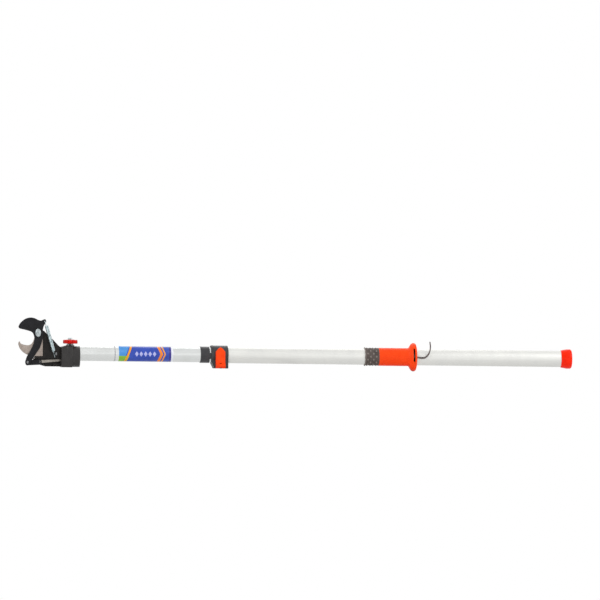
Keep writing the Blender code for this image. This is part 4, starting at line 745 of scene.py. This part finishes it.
def return_spring():
    """Extension spring between the blade's lug and the plate."""
    wire, radius, turns = 0.8 * MM, 4.2 * MM, 36
    lug, foot = at(LUG_X, 0, LUG_Z), at(SPRING_FOOT_X, 0, SPRING_FOOT_Z)
    along = (foot - lug).normalized()
    back = Vector((0, 1, 0))
    # the turns' axis runs in front of both holes, and each end's wire 1.1 mm in front of its face
    middle = Vector((0, -11.3 * MM, 0))
    first, last = lug + along * 9.5 * MM + middle, foot - along * 13 * MM + middle
    turn = Matrix((back, along.cross(back), along)).transposed()
    lug_hole, foot_hole = lug + Vector((0, BLADE_FACE * MM, 0)), foot + Vector((0, PAD_FACE * MM, 0))
    off = Vector((0, -1.1 * MM, 0))
    upper = flowing([lug_hole + back * 4 * MM, lug_hole, lug_hole + off + along * 0.8 * MM,
                     lug_hole + off + along * 4 * MM, first - along * 2.4 * MM + back * radius * 0.8,
                     first + back * radius])
    lower = flowing([last + back * radius, last + along * 2.2 * MM + back * radius * 0.9,
                     foot_hole + off - along * 6.5 * MM, foot_hole + off - along * 1 * MM,
                     foot_hole + back * 1 * MM, foot_hole + back * 4 * MM])
    count = len(upper)
    links = [(k, k + 1) for k in range(count + len(lower) - 1) if k != count - 1]
    ends = bpy.data.meshes.new("spring_ends")
    ends.from_pydata(upper + lower, links, [])
    mesh = follow_rule("return_spring_shape", ends, coil_rule(), {
        "Turns": float(turns), "Radius": radius, "Length": (last - first).length, "Wire": wire,
        "Start": first, "Turn": turn.to_euler()}, sharp=60)
    piece = shown("return_spring_look", mesh, None, None, "spring_steel")
    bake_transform(piece)
    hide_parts("return_spring")


def lobe_rule():
    """Tree for the knob: a turned disc is drawn in between its lobes, and its rim droops."""
    tree, given, close = rule("lobed_knob", Lobes="Float", Dip="Float", Inner="Float", Outer="Float",
                              Droop="Float", Centre="Vector")
    place = add(tree, "GeometryNodeInputPosition")
    local = add(tree, "ShaderNodeVectorMath", {0: place, 1: given["Centre"]}, operation="SUBTRACT")
    parts = add(tree, "ShaderNodeSeparateXYZ", {0: local}).outputs
    flat = add(tree, "ShaderNodeCombineXYZ", {0: parts[0], 1: parts[1]})
    radius = add(tree, "ShaderNodeVectorMath", {0: flat}, operation="LENGTH").outputs["Value"]
    share = add(tree, "ShaderNodeMapRange", {"Value": radius, "From Min": given["Inner"],
                                             "From Max": given["Outer"]})
    angle = add(tree, "ShaderNodeMath", {0: parts[1], 1: parts[0]}, operation="ARCTAN2")
    around = add(tree, "ShaderNodeMath", {0: angle, 1: given["Lobes"]}, operation="MULTIPLY")
    wave = add(tree, "ShaderNodeMath", {0: around}, operation="COSINE")
    valley = add(tree, "ShaderNodeMath", {0: wave, 1: -0.5, 2: 0.5}, operation="MULTIPLY_ADD")
    shaped = add(tree, "ShaderNodeMath", {0: valley, 1: 1.5}, operation="POWER")
    dip = add(tree, "ShaderNodeMath", {0: shaped, 1: given["Dip"]}, operation="MULTIPLY")
    drawn = add(tree, "ShaderNodeMath", {0: dip, 1: share}, operation="MULTIPLY")
    less = add(tree, "ShaderNodeMath", {0: drawn, 1: -1.0}, operation="MULTIPLY")
    inward = add(tree, "ShaderNodeVectorMath", {0: flat, "Scale": less}, operation="SCALE")
    fall = add(tree, "ShaderNodeMath", {0: share, 1: given["Droop"]}, operation="MULTIPLY")
    down = add(tree, "ShaderNodeMath", {0: fall, 1: -1.0}, operation="MULTIPLY")
    lowered = add(tree, "ShaderNodeCombineXYZ", {2: down})
    shift = add(tree, "ShaderNodeVectorMath", {0: inward, 1: lowered}, operation="ADD")
    moved = add(tree, "GeometryNodeSetPosition", {"Geometry": given["Shape"], "Offset": shift})
    return close(moved, RED_NYLON)


def star_knob():
    """Red knob with seven rounded lobes, and its pale domed stud."""
    low, high = (Vector(c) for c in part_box("star_knob"))
    middle = (low + high) / 2
    base = Vector((middle.x, middle.y, low.z))
    tall = (high.z - low.z) / MM
    rim, bore = 21.25, 4.4
    profile = [(bore, 0), (9, 0), (9, 0.8), (14, 0.8), *arc(rim - 1.8, 2.6, 1.8, -90, 0, 6)]
    profile += [*arc(rim - 2.4, tall - 2.8, 2.4, 0, 90, 8), (15.5, tall - 0.5), (12.5, tall - 0.6)]
    profile += [(10.6, tall), (8.6, tall), (8.2, tall - 0.6), (bore, tall - 0.6)]
    disc = turned("star_knob", profile, base, (0, 0, 1), 196)
    mesh = follow_rule("star_knob_shape", disc, lobe_rule(), {
        "Lobes": 7.0, "Dip": 0.27, "Inner": 10.5 * MM, "Outer": 17 * MM, "Droop": 0.2 * MM,
        "Centre": base}, sharp=50)
    shown("star_knob_look", mesh, "knob", None, "knob_plastic", "star_knob")
    eased("knob_stud", 0.3 * MM, BRIGHT_ZINC, "bright_steel")
    eased("knob_washer", 0.3 * MM, DULL_ZINC, "bright_steel")


def stud_rule():
    """Tree for the collar's raised dots: staggered rows round the pole, laid out by their number."""
    tree, given, close = rule("dotted_collar", Around="Int", Count="Int", Pitch="Float", Radius="Float",
                              Dot="Float", Start="Vector")
    points = add(tree, "GeometryNodePoints", {"Count": given["Count"]})
    number = add(tree, "GeometryNodeInputIndex")
    row = add(tree, "ShaderNodeMath", {0: number, 1: given["Around"]}, operation="DIVIDE")
    row = add(tree, "ShaderNodeMath", {0: row}, operation="FLOOR")
    column = add(tree, "ShaderNodeMath", {0: number, 1: given["Around"]}, operation="MODULO")
    odd = add(tree, "ShaderNodeMath", {0: row, 1: 2.0}, operation="MODULO")
    half = add(tree, "ShaderNodeMath", {0: odd, 1: 0.5, 2: column}, operation="MULTIPLY_ADD")
    share = add(tree, "ShaderNodeMath", {0: half, 1: given["Around"]}, operation="DIVIDE")
    angle = add(tree, "ShaderNodeMath", {0: share, 1: 2 * math.pi}, operation="MULTIPLY")
    cos = add(tree, "ShaderNodeMath", {0: angle}, operation="COSINE")
    sin = add(tree, "ShaderNodeMath", {0: angle}, operation="SINE")
    outward = add(tree, "ShaderNodeCombineXYZ", {1: cos, 2: sin})
    ring = add(tree, "ShaderNodeVectorMath", {0: outward, "Scale": given["Radius"]}, operation="SCALE")
    along = add(tree, "ShaderNodeMath", {0: row, 1: given["Pitch"]}, operation="MULTIPLY")
    step = add(tree, "ShaderNodeCombineXYZ", {0: along})
    spot = add(tree, "ShaderNodeVectorMath", {0: ring, 1: step}, operation="ADD")
    spot = add(tree, "ShaderNodeVectorMath", {0: spot, 1: given["Start"]}, operation="ADD")
    laid = add(tree, "GeometryNodeSetPosition", {"Geometry": points, "Position": spot})
    dot = add(tree, "GeometryNodeMeshUVSphere", {"Segments": 20, "Rings": 12, "Radius": given["Dot"]})
    flat = add(tree, "GeometryNodeTransform", {"Geometry": dot, "Scale": (1.0, 1.0, 0.42)})
    turn = add(tree, "FunctionNodeAlignRotationToVector", {"Vector": outward}, axis="Z")
    dots = add(tree, "GeometryNodeInstanceOnPoints", {"Points": laid, "Instance": flat, "Rotation": turn})
    both = add(tree, "GeometryNodeJoinGeometry")
    for part in (dots, given["Shape"]):
        feed(tree, both, {0: part})
    return close(both, RUBBER)


def grip_end():
    """Collar with its dots, the orange grip and flange, the wire hook and the end cap."""
    low, high = (Vector(c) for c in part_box("grip_collar"))
    start = Vector((low.x, 0, AXIS_HEIGHT))
    long = (high.x - low.x) / MM
    bore, rows, around = 16.05, 4, 9
    profile = [(bore, 0), (17.6, 0), (18.2, 0.5), (18.2, 1.3), (17.2, 3), (17.0, 6), (16.9, long * 0.5),
               (17.0, long - 2), (17.45, long - 0.8), (17.3, long), (bore, long)]
    sleeve = turned("grip_collar", profile, start, (1, 0, 0))
    mesh = follow_rule("grip_collar_shape", sleeve, stud_rule(), {
        "Around": around, "Count": around * rows, "Pitch": 8.4 * MM, "Radius": 16.75 * MM, "Dot": 2.6 * MM,
        "Start": start + Vector((8 * MM, 0, 0))}, sharp=40)
    shown("grip_collar_look", mesh, "grip", None, "grip_rubber", "grip_collar")
    # the hook's slot opens out into a lens on the near side, so that the wire can swing
    half_tall, lean, mouth_front, mouth_deep = 12.0, 0.1, -30, 10.5
    curve = (half_tall ** 2 + SLOT_HALF_WIDE ** 2) / (2 * SLOT_HALF_WIDE)
    spread = math.degrees(math.asin(half_tall / curve))
    rim = arc(SLOT_X - curve + SLOT_HALF_WIDE, 0, curve, -spread, spread, 12)
    rim += arc(SLOT_X + curve - SLOT_HALF_WIDE, 0, curve, 180 - spread, 180 + spread, 12)[1:-1]
    outline = [at(x - lean * z, mouth_front, z) for x, z in rim]
    mouth = prism("slot_mouth", outline, Vector((0, mouth_deep * MM, 0)))
    eased("grip_sleeve", 0.5 * MM, ORANGE_SKIN, "orange_plastic", cuts=[workpiece("slot_mouth", mouth)])
    eased("end_cap", 0.6 * MM, CAP_PVC, "cap_plastic")
    wire_hook()


def wire_hook():
    """Round wire hook: part of a ring in the flange's groove, a straight part and the upturned hook."""
    rear, ring_radius, wire_radius = FLANGE_REAR, 20.6, 1.8
    ring_x = rear - 9
    # only the last stretch of the ring, from 20 degrees down to where the wire leaves it
    swing = [math.radians(20) * (1 - k / 5 * 0.82) for k in range(6)]
    points = [(ring_x, -ring_radius * math.cos(a), ring_radius * math.sin(a)) for a in swing]
    points += [(ring_x + 0.7, -ring_radius, 0.5), (ring_x + 2.4, -ring_radius, 0), (rear, -ring_radius, -0.3)]
    # one even bend of 22 mm from the straight part, and an almost straight tip
    bend, reach, drop = 22, 38.2, 1.4
    centre_x, centre_z = rear + reach - bend, bend - drop
    points += [(centre_x - 4, -ring_radius, -1.3)]
    points += [(x, -ring_radius, z) for x, z in arc(centre_x, centre_z, bend, -90, 4, 14)]
    points += [(centre_x + bend - 0.6, -ring_radius, centre_z + 5.5),
               (centre_x + bend - 1.6, -ring_radius, centre_z + 9.8)]
    line = bpy.data.curves.new("hook_wire", "CURVE")
    line.dimensions = "3D"
    line.bevel_depth = wire_radius * MM
    line.bevel_resolution = 5
    line.use_fill_caps = True
    run = line.splines.new("POLY")
    places = flowing([at(*p) for p in points], 3)
    run.points.add(len(places) - 1)
    for point, place in zip(run.points, places):
        point.co = (*place, 1)
    mesh = settled(workpiece("hook_wire_shape", line), sharp=60)
    shown("hook_wire_look", mesh, "hook", PHOSPHATED, "wire_steel", "hook_wire")


def printed_vinyl():
    """Vinyl film printed in flat inks on a blue ground: leaning blocks, a row of lozenges, two chevrons."""
    made, tree, shader, place = surface("printed_vinyl", 0.32, specular=0.3)
    parts = add(tree, "ShaderNodeSeparateXYZ", {0: place}).outputs
    # millimetres along the film from its start, and up from the pole's axis
    along, up = (add(tree, "ShaderNodeMath", {0: part, 1: 1 / MM, 2: -zero / MM}, operation="MULTIPLY_ADD")
                 for part, zero in ((parts[0], at(STICKER_START, 0, 0).x), (parts[2], AXIS_HEIGHT)))
    off = add(tree, "ShaderNodeMath", {0: up}, operation="ABSOLUTE")
    leaning = add(tree, "ShaderNodeMath", {0: up, 1: -0.6, 2: along}, operation="MULTIPLY_ADD")
    pointed = add(tree, "ShaderNodeMath", {0: off, 1: 0.6, 2: along}, operation="MULTIPLY_ADD")
    # from where to where along the film each motif runs
    block, stripe, chevron, thin_chevron = (-20, 22), (25, 31), (121, 129), (133, 137)
    foot_run, lozenge_run, dark_band, pale_end = (-20, 33), (46, 111), (147, 152), (153, 160)
    low_part, foot_part = strip_mask(tree, up, -16, -4), strip_mask(tree, leaning, *foot_run)
    foot = add(tree, "ShaderNodeMath", {0: low_part, 1: foot_part}, operation="MULTIPLY")
    # lozenges 10 mm across, one every 13 mm, by their distance along and across taken together
    beat = add(tree, "ShaderNodeMath", {0: along, 1: 6.5, 2: 6.5}, operation="PINGPONG")
    reach = add(tree, "ShaderNodeMath", {0: beat, 1: off}, operation="ADD")
    each, row = strip_mask(tree, reach, -1, 5.2), strip_mask(tree, along, *lozenge_run)
    lozenge = add(tree, "ShaderNodeMath", {0: each, 1: row}, operation="MULTIPLY")
    colour = between(tree, grain(tree, place, 20 * MM), "2c46a6", "3a55bb")
    inks = ((strip_mask(tree, leaning, *block), "4b93da"), (foot, "88b83e"),
            (strip_mask(tree, leaning, *stripe), "f5a21c"), (lozenge, "b4b7e8"),
            (strip_mask(tree, pointed, *chevron), "f48a26"),
            (strip_mask(tree, pointed, *thin_chevron), "f5a21c"),
            (strip_mask(tree, along, *dark_band), "3b2c86"),
            (strip_mask(tree, along, *pale_end), "eceef4"))
    for mask, code in inks:
        layer = add(tree, "ShaderNodeMix", {0: mask, 6: colour, 7: linear(code)}, data_type="RGBA")
        colour = layer.outputs[2]
    # vinyl film follows the tube with a faint ripple about 3 mm long
    ripple = grain(tree, place, 3 * MM)
    bump = add(tree, "ShaderNodeBump", {"Height": ripple, "Distance": 0.03 * MM, "Strength": 0.5})
    feed(tree, shader, {"Base Color": colour, "Normal": bump})
    return made


def prints():
    """Printed film wrapped round the upper tube, and the rubbed grey ring in front of it."""
    radius, thick = 14.74, 0.06
    for name, start, long, finish in (("printed_sticker", STICKER_START, STICKER_LONG, printed_vinyl()),
                                      ("printed_ring", RING_START, RING_LONG, RUBBED_INK)):
        edge = [(radius - thick, 0), (radius, thick), (radius, long - thick), (radius - thick, long)]
        mesh = turned(name, edge, at(start, 0, 0), (1, 0, 0))
        for face in mesh.polygons:
            face.use_smooth = True
        shown(name, mesh, "head", finish, "polished_aluminium")


def pole():
    """Tubes, sleeve, clamp, lever and the inner parts."""
    eased("upper_tube", 0.25 * MM, POLISHED, "polished_aluminium")
    eased("lower_tube", 0.25 * MM, SATIN, "satin_aluminium")
    eased("tube_rivet", 0.2 * MM, DULL_ZINC, "bright_steel")
    eased("collet_sleeve", 0.25 * MM, CLAMP_NYLON, "clamp_plastic")
    # a raised band round the clamp's front
    front, edge = 566, [(17, 0), (18.8, 0.4), (18.8, 3.4), (17, 3.8)]
    band = turned("clamp_band", edge, at(front, 0, 0), (1, 0, 0))
    eased("clamp_body", 0.8 * MM, CLAMP_NYLON, "clamp_plastic", adds=[workpiece("clamp_band", band)])
    eased("cam_lever", 1.1 * MM, ORANGE_ABS, "orange_plastic")
    for node in ("cam_pin", "clamp_screw", "clamp_nut"):
        eased(node, 0.3 * MM, DULL_ZINC, "bright_steel")
    # a half-round column on each side of the housing, under the knob
    middle, radius, spread, foot, tall = 148.4, 18.6, 26, -26.4, 39.6
    curve = arc(middle, 0, radius, 90 - spread, 90 + spread, 14)
    columns = []
    for side in (-1, 1):
        outline = [at(x, side * y, foot) for x, y in curve]
        column = prism("housing_column", outline, Vector((0, 0, tall * MM)))
        columns.append(workpiece("housing_column", column))
    eased("head_housing", 0.7 * MM, NYLON, "housing_plastic", adds=columns)
    # pieces inside, which are shown as they come from the CAD
    inside = ((ACETAL, ("crosshead", "guide_bush")),
              (DULL_ZINC, ("drive_rod", "drive_tube", "drive_pin",
                           "crosshead_pin_strip", "crosshead_pin_rod")))
    for finish, nodes in inside:
        for node in nodes:
            for holder in NODES[node].material_slots:
                holder.material = finish


camera()
surroundings()
lamps()
studio_floor()
cutting_head()
return_spring()
star_knob()
grip_end()
prints()
pole()
